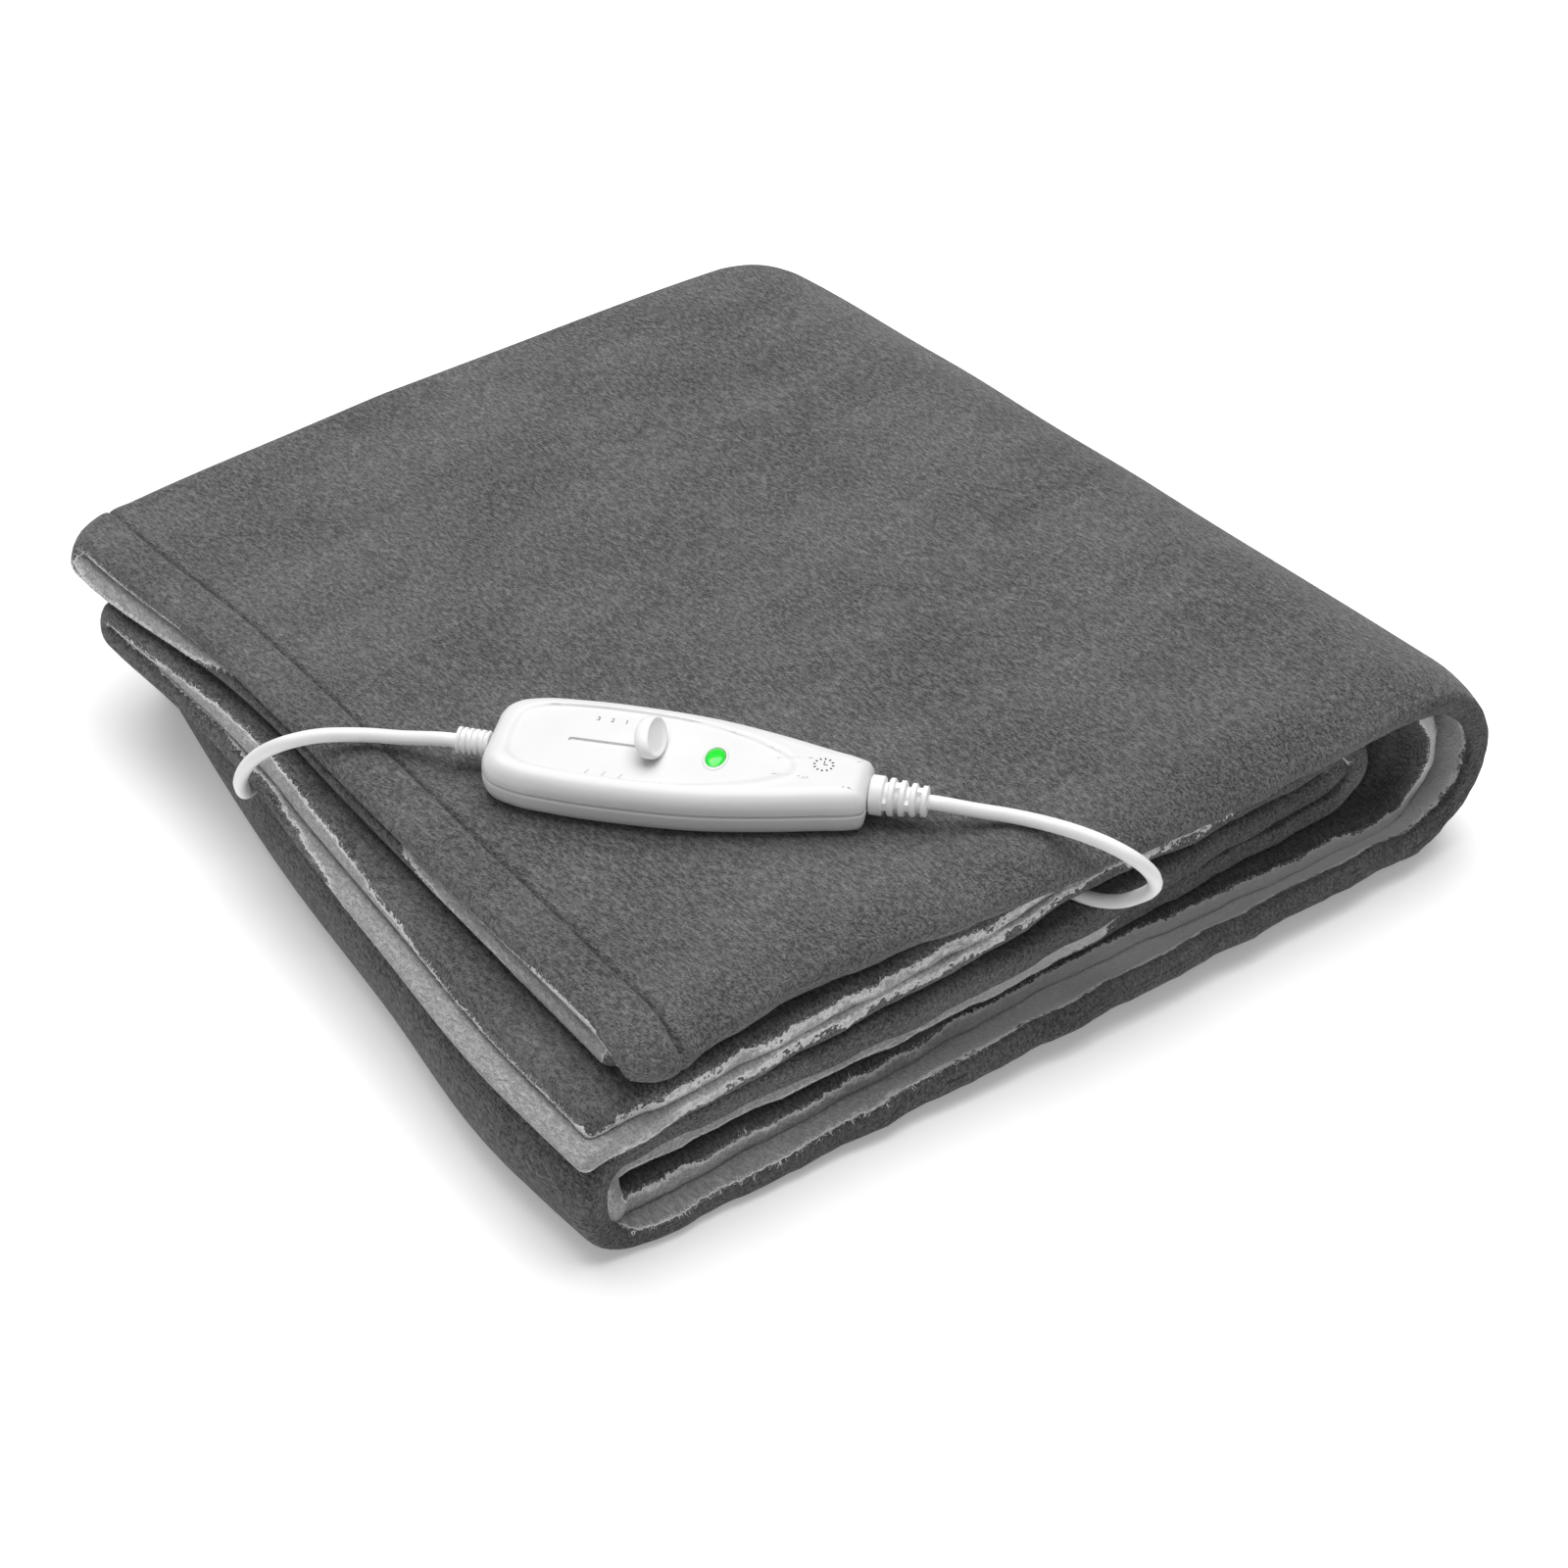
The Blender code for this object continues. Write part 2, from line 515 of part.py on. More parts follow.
def build_control(parts, cutters, materials, frame):
    """The two halves of the housing with the dish and the slot cut in the upper one."""
    lower = ring_solid("control_lower", LOWER_RINGS, OUTLINE_ROWS)
    add_object("control_lower", lower, parts, materials["housing"], frame)
    upper = ring_solid("control_upper", UPPER_RINGS, OUTLINE_ROWS)
    piece = add_object("control_upper", upper, parts, materials["housing"], frame)
    floor = CONTROL_HEIGHT - DISH_DEPTH
    dish = ring_solid("dish_cutter", ((floor, 1.6), (floor + 3.0, -3.2)), DISH_ROWS, 16)
    slot = box_mesh("slot_cutter", (SLOT_FROM, -SLOT_WIDTH / 2, floor - 3.2),
                    (SLOT_TO, SLOT_WIDTH / 2, floor + 2.0))
    light = turned_mesh("light_cutter", ((1.0, floor - 2.2), (1.0, floor + 2.0)), LIGHT_SIZE, SHY)
    for name, mesh in (("dish_cutter", dish), ("slot_cutter", slot), ("light_cutter", light)):
        cutter = add_object(name, mesh, cutters, materials["housing"], frame)
        cutter.hide_render = True
        cutter.display_type = "WIRE"
        cut(piece, cutter)


def turned_mesh(name, profile, size, grow=0.0, sides=20):
    """An oval turned solid about the light's axis: pairs of relative radius and height."""
    work = bmesh.new()
    angles = np.linspace(0, 2 * np.pi, sides, endpoint=False)
    loops = []
    for radius, height in profile:
        loops.append([work.verts.new(((LIGHT_AT + (size[0] * radius + grow) * math.cos(a)) * MM,
                                      (size[1] * radius + grow) * math.sin(a) * MM, height * MM))
                      for a in angles])
    for low, high in zip(loops, loops[1:]):
        for k in range(sides):
            work.faces.new((low[k], low[(k + 1) % sides], high[(k + 1) % sides], high[k]))
    work.faces.new(loops[0][::-1])
    work.faces.new(loops[-1])
    bmesh.ops.recalc_face_normals(work, faces=work.faces)
    mesh = bpy.data.meshes.new(name)
    work.to_mesh(mesh)
    work.free()
    mesh.shade_smooth()
    mesh.set_sharp_from_angle(angle=math.radians(35))
    return mesh


def build_light(parts, materials, frame):
    """The indicator's domed lens, sunk into the dish."""
    floor = CONTROL_HEIGHT - DISH_DEPTH
    profile = ((1.0, floor - 1.9), (1.0, floor), (0.82, floor + 0.45), (0.45, floor + 0.75))
    mesh = turned_mesh("light_lens", profile, LIGHT_SIZE)
    add_object("light_lens", mesh, parts, materials["light"], frame)


def build_knob(parts, cutters, materials, frame):
    """The leaning oval disc of the slider, cut flat over the dish, and its stem in the slot."""
    floor = CONTROL_HEIGHT - DISH_DEPTH
    work = bmesh.new()
    bmesh.ops.create_cone(work, cap_ends=True, segments=28, radius1=KNOB_RADIUS * MM,
                          radius2=KNOB_RADIUS * MM, depth=KNOB_THICK * MM)
    bmesh.ops.bevel(work, geom=[e for e in work.edges if abs(e.verts[0].co.z - e.verts[1].co.z) < 1e-6],
                    offset=1.2 * MM, segments=2, affect="EDGES", profile=0.6)
    lay = Matrix.Rotation(math.pi / 2 - KNOB_LEAN, 4, "Y")
    bmesh.ops.transform(work, matrix=lay, verts=work.verts)
    stretch = Matrix.Diagonal((1.0, *KNOB_ASPECT, 1.0))
    bmesh.ops.transform(work, matrix=stretch, verts=work.verts)
    bmesh.ops.translate(work, vec=(0, 0, (floor + 1.8) * MM), verts=work.verts)
    plane = bmesh.ops.bisect_plane(work, geom=work.verts[:] + work.edges[:] + work.faces[:],
                                   plane_co=(0, 0, (floor + SHY) * MM), plane_no=(0, 0, -1),
                                   clear_outer=True)
    rim = [g for g in plane["geom_cut"] if isinstance(g, bmesh.types.BMEdge)]
    bmesh.ops.contextual_create(work, geom=rim)
    bmesh.ops.recalc_face_normals(work, faces=work.faces)
    mesh = bpy.data.meshes.new("slider_knob")
    work.to_mesh(mesh)
    work.free()
    stem_half = SLOT_WIDTH / 2 - SHY
    stem = box_mesh("slider_stem", (-3.0, -stem_half, floor - 2.8), (3.0, stem_half, floor + 1.4))
    knob = add_object("slider_knob", mesh, parts, materials["knob"], frame)
    helper = add_object("slider_stem", stem, cutters, materials["knob"], frame)
    helper.hide_render = True
    helper.display_type = "WIRE"
    knob.location = (KNOB_AT * MM, 0, 0)
    helper.location = (KNOB_AT * MM, 0, 0)
    join = knob.modifiers.new("stem", "BOOLEAN")
    join.operation = "UNION"
    join.solver = "EXACT"
    join.object = helper


def sleeve_mesh(name, profile, sides=20):
    """A turned sleeve along x: pairs of distance and radius, with both ends capped."""
    work = bmesh.new()
    loops = []
    for reach, radius in profile:
        loops.append([work.verts.new((reach * MM, radius * MM * math.cos(a), radius * MM * math.sin(a)))
                      for a in np.linspace(0, 2 * np.pi, sides, endpoint=False)])
    for low, high in zip(loops, loops[1:]):
        for k in range(sides):
            work.faces.new((low[k], low[(k + 1) % sides], high[(k + 1) % sides], high[k]))
    work.faces.new(loops[0][::-1])
    work.faces.new(loops[-1])
    bmesh.ops.recalc_face_normals(work, faces=work.faces)
    mesh = bpy.data.meshes.new(name)
    work.to_mesh(mesh)
    work.free()
    mesh.shade_smooth()
    mesh.set_sharp_from_angle(angle=math.radians(35))
    return mesh


def ribbed_profile(length, root, tip, ribs, collar):
    """Radius along a sleeve: a plain collar, then ribs that taper to the tip."""
    rows = [(0.0, root), (collar, root * 0.98)]
    pitch = (length - collar) / ribs
    for k in range(ribs):
        start = collar + k * pitch
        share = (k + 0.5) / ribs
        high = root + (tip - root) * share
        rows += [(start + 0.12 * pitch, high - 1.0), (start + 0.38 * pitch, high - 1.0),
                 (start + 0.5 * pitch, high), (start + 0.92 * pitch, high - 0.1)]
    rows.append((length, tip - 0.5))
    return rows


def build_sleeves(parts, materials, frame):
    """The ribbed sleeves that guard the leads at both ends of the control."""
    left = sleeve_mesh("left_sleeve", ribbed_profile(LEFT_RELIEF, 3.9, 3.5, 4, 1.0))
    piece = add_object("left_sleeve", left, parts, materials["sleeve"], frame)
    piece.location = (-(63.9 + SHY) * MM, 0, SLEEVE_HEIGHT * MM)
    piece.rotation_euler = (0, 0, math.pi)
    right = sleeve_mesh("right_sleeve", ribbed_profile(RIGHT_RELIEF, 6.6, 4.6, 4, 4.5))
    piece = add_object("right_sleeve", right, parts, materials["sleeve"], frame)
    piece.location = ((63.9 + SHY) * MM, 0, SLEEVE_HEIGHT * MM)


def build_coil(parts, materials):
    """The wound part of the mains lead as a turned ring with rounded corners."""
    mesh = bpy.data.meshes.new("mains_coil")
    work = bmesh.new()
    low, corner = TIE_THICK + SHY, 2.0
    middle = (COIL_INNER + COIL_OUTER) / 2
    half = (COIL_OUTER - COIL_INNER) / 2
    section = ((middle + half - corner, low), (middle + half, low + corner),
               (middle + half, low + COIL_HEIGHT - corner), (middle + half - corner, low + COIL_HEIGHT),
               (middle - half + corner, low + COIL_HEIGHT), (middle - half, low + COIL_HEIGHT - corner),
               (middle - half, low + corner), (middle - half + corner, low))
    previous = [work.verts.new((r * MM, 0, z * MM)) for r, z in section]
    edges = [work.edges.new((previous[k], previous[(k + 1) % 8])) for k in range(8)]
    bmesh.ops.spin(work, geom=previous + edges, angle=2 * math.pi, steps=40, axis=(0, 0, 1),
                   cent=(0, 0, 0), use_merge=True)
    bmesh.ops.remove_doubles(work, verts=work.verts, dist=1e-5)
    bmesh.ops.recalc_face_normals(work, faces=work.faces)
    work.to_mesh(mesh)
    work.free()
    mesh.shade_smooth()
    mesh.set_sharp_from_angle(angle=math.radians(35))
    coil = add_object("mains_coil", mesh, parts, materials["lead"])
    coil.location = to_world((*COIL_CENTRE, 0))


def build_tie(parts, cutters, materials):
    """The band that holds the coil together, cut from a block and standing clear all round."""
    inner = math.sqrt(COIL_INNER ** 2 - (TIE_WIDTH / 2) ** 2) - SHY
    outer = COIL_OUTER + SHY
    top = TIE_THICK + COIL_HEIGHT + 2 * SHY
    block = box_mesh("lead_tie", (inner - TIE_THICK, -TIE_WIDTH / 2, 0),
                     (outer + TIE_THICK, TIE_WIDTH / 2, top + TIE_THICK))
    tie = add_object("lead_tie", block, parts, materials["tie"])
    hole = box_mesh("tie_cutter", (inner, -TIE_WIDTH, TIE_THICK), (outer, TIE_WIDTH, top))
    cutter = add_object("tie_cutter", hole, cutters, materials["tie"])
    cutter.hide_render = True
    cutter.display_type = "WIRE"
    tie.location = cutter.location = to_world((*COIL_CENTRE, 0))
    cut(tie, cutter)


def build_plug(parts, materials):
    """A flat two-pin plug lying beside the coil, with its sleeve."""
    x, y, z = PLUG_AT
    half_w, half_t = PLUG_WIDTH / 2, PLUG_THICK / 2
    work = bmesh.new()
    stations = ((0.0, 0.86, 0.86), (2.0, 1.0, 1.0), (16.0, 1.0, 1.0), (28.0, 0.78, 0.98),
                (34.0, 0.5, 0.9), (PLUG_LENGTH, 0.34, 0.72))
    angles = np.linspace(0, 2 * np.pi, 24, endpoint=False)
    loops = []
    for reach, wide, thick in stations:
        power = 0.5
        cy = np.sign(np.cos(angles)) * np.abs(np.cos(angles)) ** power * half_w * wide
        cz = np.sign(np.sin(angles)) * np.abs(np.sin(angles)) ** power * half_t * thick
        loops.append([work.verts.new((reach * MM, a * MM, b * MM)) for a, b in zip(cy, cz)])
    for low, high in zip(loops, loops[1:]):
        for k in range(24):
            work.faces.new((low[k], low[(k + 1) % 24], high[(k + 1) % 24], high[k]))
    work.faces.new(loops[0][::-1])
    work.faces.new(loops[-1])
    bmesh.ops.recalc_face_normals(work, faces=work.faces)
    mesh = bpy.data.meshes.new("plug_body")
    work.to_mesh(mesh)
    work.free()
    mesh.shade_smooth()
    mesh.set_sharp_from_angle(angle=math.radians(35))
    body = add_object("plug_body", mesh, parts, materials["plug"])
    body.location = to_world(PLUG_AT)
    for name, side in (("plug_pin_left", -1), ("plug_pin_right", 1)):
        profile = ((0.0, PIN_RADIUS), (PIN_LENGTH - 1.6, PIN_RADIUS), (PIN_LENGTH, PIN_RADIUS * 0.55))
        pin = add_object(name, sleeve_mesh(name, profile, 16), parts, materials["pin"])
        pin.location = to_world((x - SHY, y + side * PIN_SPACING / 2, z))
        pin.rotation_euler = (0, 0, math.pi)
    profile = ((0.0, 4.6), (PLUG_SLEEVE * 0.3, 4.2), (PLUG_SLEEVE * 0.7, 3.5), (PLUG_SLEEVE, 3.1))
    sleeve = add_object("plug_sleeve", sleeve_mesh("plug_sleeve", profile), parts, materials["plug"])
    sleeve.location = to_world((x + PLUG_LENGTH + SHY, y, z))


def build():
    """Clear the scene and build every piece."""
    for old in list(bpy.data.objects):
        bpy.data.objects.remove(old, do_unlink=True)
    parts = bpy.data.collections.new("heated_blanket")
    cutters = bpy.data.collections.new("cutters")
    for collection in (parts, cutters):
        bpy.context.scene.collection.children.link(collection)
    materials = {
        "cloth": make_material("dark_plush", (0.13, 0.13, 0.13), 0.95),
        "housing": make_material("white_housing", (0.86, 0.86, 0.86), 0.35),
        "knob": make_material("white_knob", (0.80, 0.80, 0.80), 0.4),
        "sleeve": make_material("white_sleeve", (0.84, 0.84, 0.84), 0.45),
        "lead": make_material("white_lead", (0.84, 0.84, 0.84), 0.4),
        "plug": make_material("white_plug", (0.82, 0.82, 0.82), 0.4),
        "tie": make_material("black_tie", (0.03, 0.03, 0.03), 0.5),
        "pin": make_material("plated_pin", (0.75, 0.74, 0.70), 0.25, 1.0),
        "light": make_material("green_light", (0.02, 0.75, 0.06), 0.3),
    }
    build_blanket(parts, materials["cloth"])
    frame = bpy.data.objects.new("control_axes", None)
    parts.objects.link(frame)
    frame.location = to_world((*CONTROL_AT, CONTROL_SEAT))
    frame.rotation_euler = (0, 0, CONTROL_TURN)
    build_control(parts, cutters, materials, frame)
    build_light(parts, materials, frame)
    build_knob(parts, cutters, materials, frame)
    build_sleeves(parts, materials, frame)
    build_lead("mains_lead", MAINS_ROUTE, parts, materials["lead"])
    build_lead("blanket_lead", BLANKET_ROUTE, parts, materials["lead"])
    build_coil(parts, materials)
    build_tie(parts, cutters, materials)
    build_plug(parts, materials)
    build_lead("plug_tail", TAIL_ROUTE, parts, materials["lead"], 1.2 * LEAD)


build()
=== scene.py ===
# %% [markdown]
# # An electric heated blanket, folded into a flat pile
# The blanket is one doubled cloth: dark plush outside, pale fleece inside. It is folded in half
# along its back and wound into four double layers, and a white slide control lies on the top one.
# Everything here is worked out in millimetres from the pile's front left corner on the floor, with
# x along the front, y to the back and z up, and turned into the frame's metres at the end, so that
# a size in the script is a size that a maker would read off a rule.

# %% Load the frame
import math

import bmesh
import bpy
import numpy as np
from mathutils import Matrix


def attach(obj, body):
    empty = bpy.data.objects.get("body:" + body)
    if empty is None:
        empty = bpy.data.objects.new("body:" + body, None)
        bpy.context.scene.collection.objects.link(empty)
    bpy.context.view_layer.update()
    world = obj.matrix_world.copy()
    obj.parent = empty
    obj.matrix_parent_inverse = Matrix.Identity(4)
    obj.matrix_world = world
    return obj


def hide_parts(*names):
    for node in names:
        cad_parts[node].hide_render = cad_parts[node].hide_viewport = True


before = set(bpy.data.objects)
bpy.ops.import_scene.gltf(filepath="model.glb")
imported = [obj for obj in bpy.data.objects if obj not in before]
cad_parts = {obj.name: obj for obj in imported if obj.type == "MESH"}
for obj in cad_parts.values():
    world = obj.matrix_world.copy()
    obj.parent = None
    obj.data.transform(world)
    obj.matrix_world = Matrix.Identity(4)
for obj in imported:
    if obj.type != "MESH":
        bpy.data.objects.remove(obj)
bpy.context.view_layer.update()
MM = 0.001
CENTRE = np.array((187.75, 181.74, 0.0))      # the pile's middle, where the frame has its origin
print("solids in the frame:", len(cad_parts))

# %% [markdown]
# ## The camera
# The photograph looks down at the pile's front left corner with a long lens, so its lines hardly
# converge. The camera stands about 1.3 m away, looks 38.5 degrees down and is turned 36 degrees
# to the right, which puts the corner at the bottom of the picture.

# %% Camera
CAMERA_LENS = 81.0
CAMERA_PLACE = (-0.5918, -0.8387, 0.8060)
CAMERA_DOWN, CAMERA_RIGHT = 38.5, 36.0        # degrees

camera = bpy.data.objects.new("camera", bpy.data.cameras.new("camera"))
camera.data.lens = CAMERA_LENS
camera.data.sensor_width = 36.0
camera.location = CAMERA_PLACE
camera.rotation_euler = (math.radians(90 - CAMERA_DOWN), 0, math.radians(-CAMERA_RIGHT))
bpy.context.scene.collection.objects.link(camera)
bpy.context.scene.camera = camera
print("camera height", CAMERA_PLACE[2])


# %% [markdown]
# ## Tables, curves and meshes
# A soft thing has few straight lines, but a handful of measured rows is enough when a smooth
# curve runs through them. `rows_at` reads such a table anywhere. The other helpers turn a grid of
# points into a mesh and give a finished piece its body, its slot and the solid it stands for.

# %% Smooth tables
def rows_at(rows, at):
    """Columns of a table at the given places.

    Between two rows the curve is a cubic: p(t) = p0 h0(t) + m0 h1(t) + p1 h2(t) + m1 h3(t), with
    the slopes m taken from the rows on both sides.
    """
    table = np.array(rows, float)
    key, values = table[:, 0], table[:, 1:]
    slope = np.gradient(values, key, axis=0)
    at = np.clip(np.asarray(at, float), key[0], key[-1])
    low = np.clip(np.searchsorted(key, at) - 1, 0, len(key) - 2)
    span = key[low + 1] - key[low]
    t = ((at - key[low]) / span)[..., None]
    span = span[..., None]
    start, end = values[low], values[low + 1]
    smooth = (start * (2 * t ** 3 - 3 * t ** 2 + 1) + slope[low] * span * (t ** 3 - 2 * t ** 2 + t)
              + end * (3 * t ** 2 - 2 * t ** 3) + slope[low + 1] * span * (t ** 3 - t ** 2))
    return np.moveaxis(smooth, -1, 0)


def smooth_step(share):
    """3 s^2 - 2 s^3 of a share that is kept between 0 and 1."""
    share = np.clip(share, 0, 1)
    return share * share * (3 - 2 * share)


# %% Grids into meshes
def grid_quads(rows, columns, close_rows=False, close_columns=False):
    """Corner numbers of a grid's faces, closed round either way on request."""
    index = np.arange(rows * columns).reshape(rows, columns)
    if close_rows:
        index = np.vstack((index, index[:1]))
    if close_columns:
        index = np.hstack((index, index[:, :1]))
    corners = (index[:-1, :-1], index[:-1, 1:], index[1:, 1:], index[1:, :-1])
    return np.stack(corners, -1).reshape(-1, 4)


def mesh_of(name, points, faces, sharp=None):
    """A mesh from points and faces, with its faces turned outwards and shaded smooth."""
    mesh = bpy.data.meshes.new(name)
    faces = faces.tolist() if isinstance(faces, np.ndarray) else faces
    mesh.from_pydata(np.asarray(points, float).reshape(-1, 3).tolist(), [], faces)
    work = bmesh.new()
    work.from_mesh(mesh)
    bmesh.ops.recalc_face_normals(work, faces=work.faces)
    work.to_mesh(mesh)
    work.free()
    mesh.shade_smooth()
    if sharp:
        mesh.set_sharp_from_angle(angle=math.radians(sharp))
    return mesh


def skin(name, rings, to_frame, sharp):
    """A closed skin over rings, its first and last one filled; to_frame takes it into the frame."""
    steps, count = rings.shape[:2]
    faces = grid_quads(steps, count, close_columns=True).tolist()
    faces += [list(range(count))[::-1], list(range((steps - 1) * count, steps * count))]
    return mesh_of(name, to_frame(rings), faces, sharp=sharp)


def pile_to_frame(points):
    """The pile's millimetres as metres about its middle."""
    return (np.asarray(points, float) - CENTRE) * MM


# %% Objects and pieces
def in_scene(name, data):
    """A new object, linked to the scene."""
    item = bpy.data.objects.new(name, data)
    bpy.context.scene.collection.objects.link(item)
    return item


def mesh_as_seen(item):
    """A copy of an object's mesh with its modifiers or its curve worked out."""
    graph = bpy.context.evaluated_depsgraph_get()
    return bpy.data.meshes.new_from_object(item.evaluated_get(graph))


def add_piece(name, data, material, body="blanket", stands_for=()):
    """One finished piece: its material, its body, and the solids that it stands for."""
    data.materials.clear()
    data.materials.append(material)
    piece = in_scene(name, data)
    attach(piece, body)
    if stands_for:
        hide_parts(*stands_for)
    if hasattr(data, "polygons"):
        print(name, "faces", len(data.polygons))
    return piece


# %% [markdown]
# ## Surface effects that several materials share
# Short pile looks like fine grain with soft darker and lighter patches, where the hairs lean
# another way. Moulded plastic has a faint unevenness from the mould. Each is a node group, so
# every material takes the same effect with its own numbers.

# %% Node helpers
def new_group(name, inputs, outputs):
    """A shader node group with named float inputs and outputs; returns it and its two ends."""
    group = bpy.data.node_groups.new(name, "ShaderNodeTree")
    group.interface.new_socket("Vector", in_out="INPUT", socket_type="NodeSocketVector")
    for label, value in inputs:
        socket = group.interface.new_socket(label, in_out="INPUT", socket_type="NodeSocketFloat")
        socket.default_value = value
    for label in outputs:
        group.interface.new_socket(label, in_out="OUTPUT", socket_type="NodeSocketFloat")
    return group, group.nodes.new("NodeGroupInput"), group.nodes.new("NodeGroupOutput")


def feed(tree, socket, value):
    """Link a socket to another one, or set it to a number or a colour."""
    if isinstance(value, bpy.types.NodeSocket):
        tree.links.new(value, socket)
    elif value is not None:
        socket.default_value = value


def math_node(tree, operation, first, second=None, third=None):
    """A Math node whose inputs are sockets or numbers; returns its output."""
    node = tree.nodes.new("ShaderNodeMath")
    node.operation = operation
    for socket, value in zip(node.inputs, (first, second, third)):
        feed(tree, socket, value)
    return node.outputs[0]


def times(tree, first, second):
    """The product of two values."""
    return math_node(tree, "MULTIPLY", first, second)


def noise_node(tree, vector, scale, detail=2.0, roughness=0.5):
    """Noise of about 1 / scale metres a patch, read at a vector."""
    node = tree.nodes.new("ShaderNodeTexNoise")
    node.inputs["Detail"].default_value = detail
    node.inputs["Roughness"].default_value = roughness
    feed(tree, node.inputs["Scale"], scale)
    tree.links.new(vector, node.inputs["Vector"])
    return node.outputs["Fac"]


def stretched(tree, vector, stretch, turn=(0.0, 0.0, 0.0)):
    """A vector turned and then squeezed along its axes, so that noise comes out in streaks."""
    node = tree.nodes.new("ShaderNodeMapping")
    node.inputs["Rotation"].default_value = turn
    node.inputs["Scale"].default_value = stretch
    tree.links.new(vector, node.inputs["Vector"])
    return node.outputs["Vector"]


def mix_colours(tree, share, first, second):
    """A Mix node for colours; returns its output."""
    node = tree.nodes.new("ShaderNodeMix")
    node.data_type = "RGBA"
    for number, value in ((0, share), (6, first), (7, second)):
        feed(tree, node.inputs[number], value)
    return node.outputs[2]


def spread(tree, value, low, high, to_low=0.0, to_high=1.0, smooth=True):
    """A value between low and high spread over another range, smoothly or in a straight line."""
    node = tree.nodes.new("ShaderNodeMapRange")
    node.interpolation_type = "SMOOTHSTEP" if smooth else "LINEAR"
    ends = {"From Min": low, "From Max": high, "To Min": to_low, "To Max": to_high}
    for label, number in ends.items():
        node.inputs[label].default_value = number
    tree.links.new(value, node.inputs["Value"])
    return node.outputs["Result"]


def axes_of(tree, place):
    """The x, y and z of a place, each as a socket."""
    node = tree.nodes.new("ShaderNodeSeparateXYZ")
    tree.links.new(place, node.inputs[0])
    return node.outputs


def attribute(tree, name):
    """The value of a point attribute."""
    node = tree.nodes.new("ShaderNodeAttribute")
    node.attribute_name = name
    return node.outputs["Fac"]


def grey(value):
    """A neutral colour."""
    return (value, value, value, 1.0)


# %% Short pile
def pile_group():
    """Grain of fine leaning hairs, and mottle of soft patches where they lean another way.

    Grain = fine noise in streaks, mixed with a little rounder noise; mottle = coarse noise in
    long patches. Both run from 0 to 1.
    """
    group, start, end = new_group("short pile", (("Grain size", 1.0), ("Patch size", 30.0)),
                                  ("Grain", "Mottle"))
    vector = start.outputs["Vector"]
    fine = math_node(group, "DIVIDE", 1000.0, start.outputs["Grain size"])
    coarse = math_node(group, "DIVIDE", 1000.0, start.outputs["Patch size"])
    leaning = stretched(group, vector, (1.0, 0.42, 1.0), (0.0, 0.0, math.radians(25)))
    streak = noise_node(group, leaning, fine, 3.0, 0.62)
    round_grain = noise_node(group, vector, times(group, fine, 1.7), 1.0)
    grain = math_node(group, "MULTIPLY_ADD", streak, 0.65, times(group, round_grain, 0.35))
    group.links.new(spread(group, grain, 0.39, 0.61, smooth=False), end.inputs["Grain"])
    patches = stretched(group, vector, (0.55, 1.0, 1.0), (0.0, 0.0, math.radians(-18)))
    mottle = noise_node(group, patches, coarse, 3.0, 0.55)
    group.links.new(spread(group, mottle, 0.3, 0.7), end.inputs["Mottle"])
    return group


PILE = pile_group()


# %% Moulded plastic
def mould_group():
    """Faint waves of a moulded face, and the very fine texture of its satin finish."""
    group, start, end = new_group("moulded face", (("Wave size", 14.0), ("Grain size", 0.35)),
                                  ("Wave", "Grain"))
    vector = start.outputs["Vector"]
    wave_scale = math_node(group, "DIVIDE", 1000.0, start.outputs["Wave size"])
    grain_scale = math_node(group, "DIVIDE", 1000.0, start.outputs["Grain size"])
    group.links.new(noise_node(group, vector, wave_scale, 2.0), end.inputs["Wave"])
    group.links.new(noise_node(group, vector, grain_scale, 1.0), end.inputs["Grain"])
    return group


MOULD = mould_group()


# %% [markdown]
# ## The materials
# The cloth needs one material for both of its faces, because the line between plush and fleece
# is ragged and runs round each edge. A point attribute, `pale_mm`, says how far a place is from
# that line, positive on the pale side, and another, `seam_mm`, how far it is from the hem's seam.
# Noise in the shader frays the line, and a painted highlight lies just inside it, where the
# fleece's tips catch the light.

# %% Start a material
def start_material(name, roughness, metallic=0.0, specular=0.5):
    """A Principled material; returns it, its tree, its shader and its object coordinates."""
    material = bpy.data.materials.new(name)
    material.use_nodes = True
    tree = material.node_tree
    shader = tree.nodes["Principled BSDF"]
    shader.inputs["Roughness"].default_value = roughness
    shader.inputs["Metallic"].default_value = metallic
    shader.inputs["Specular IOR Level"].default_value = specular
    place = tree.nodes.new("ShaderNodeTexCoord").outputs["Object"]
    return material, tree, shader, place


def place_group(tree, group, vector, **values):
    """A group node with its own numbers; returns the node."""
    node = tree.nodes.new("ShaderNodeGroup")
    node.node_tree = group
    tree.links.new(vector, node.inputs["Vector"])
    for label, value in values.items():
        node.inputs[label.replace("_", " ").capitalize()].default_value = value
    return node


def bump_node(tree, shader, height, strength, distance):
    """Bump of a height, its distance in metres."""
    node = tree.nodes.new("ShaderNodeBump")
    node.inputs["Strength"].default_value = strength
    node.inputs["Distance"].default_value = distance
    tree.links.new(height, node.inputs["Height"])
    tree.links.new(node.outputs["Normal"], shader.inputs["Normal"])
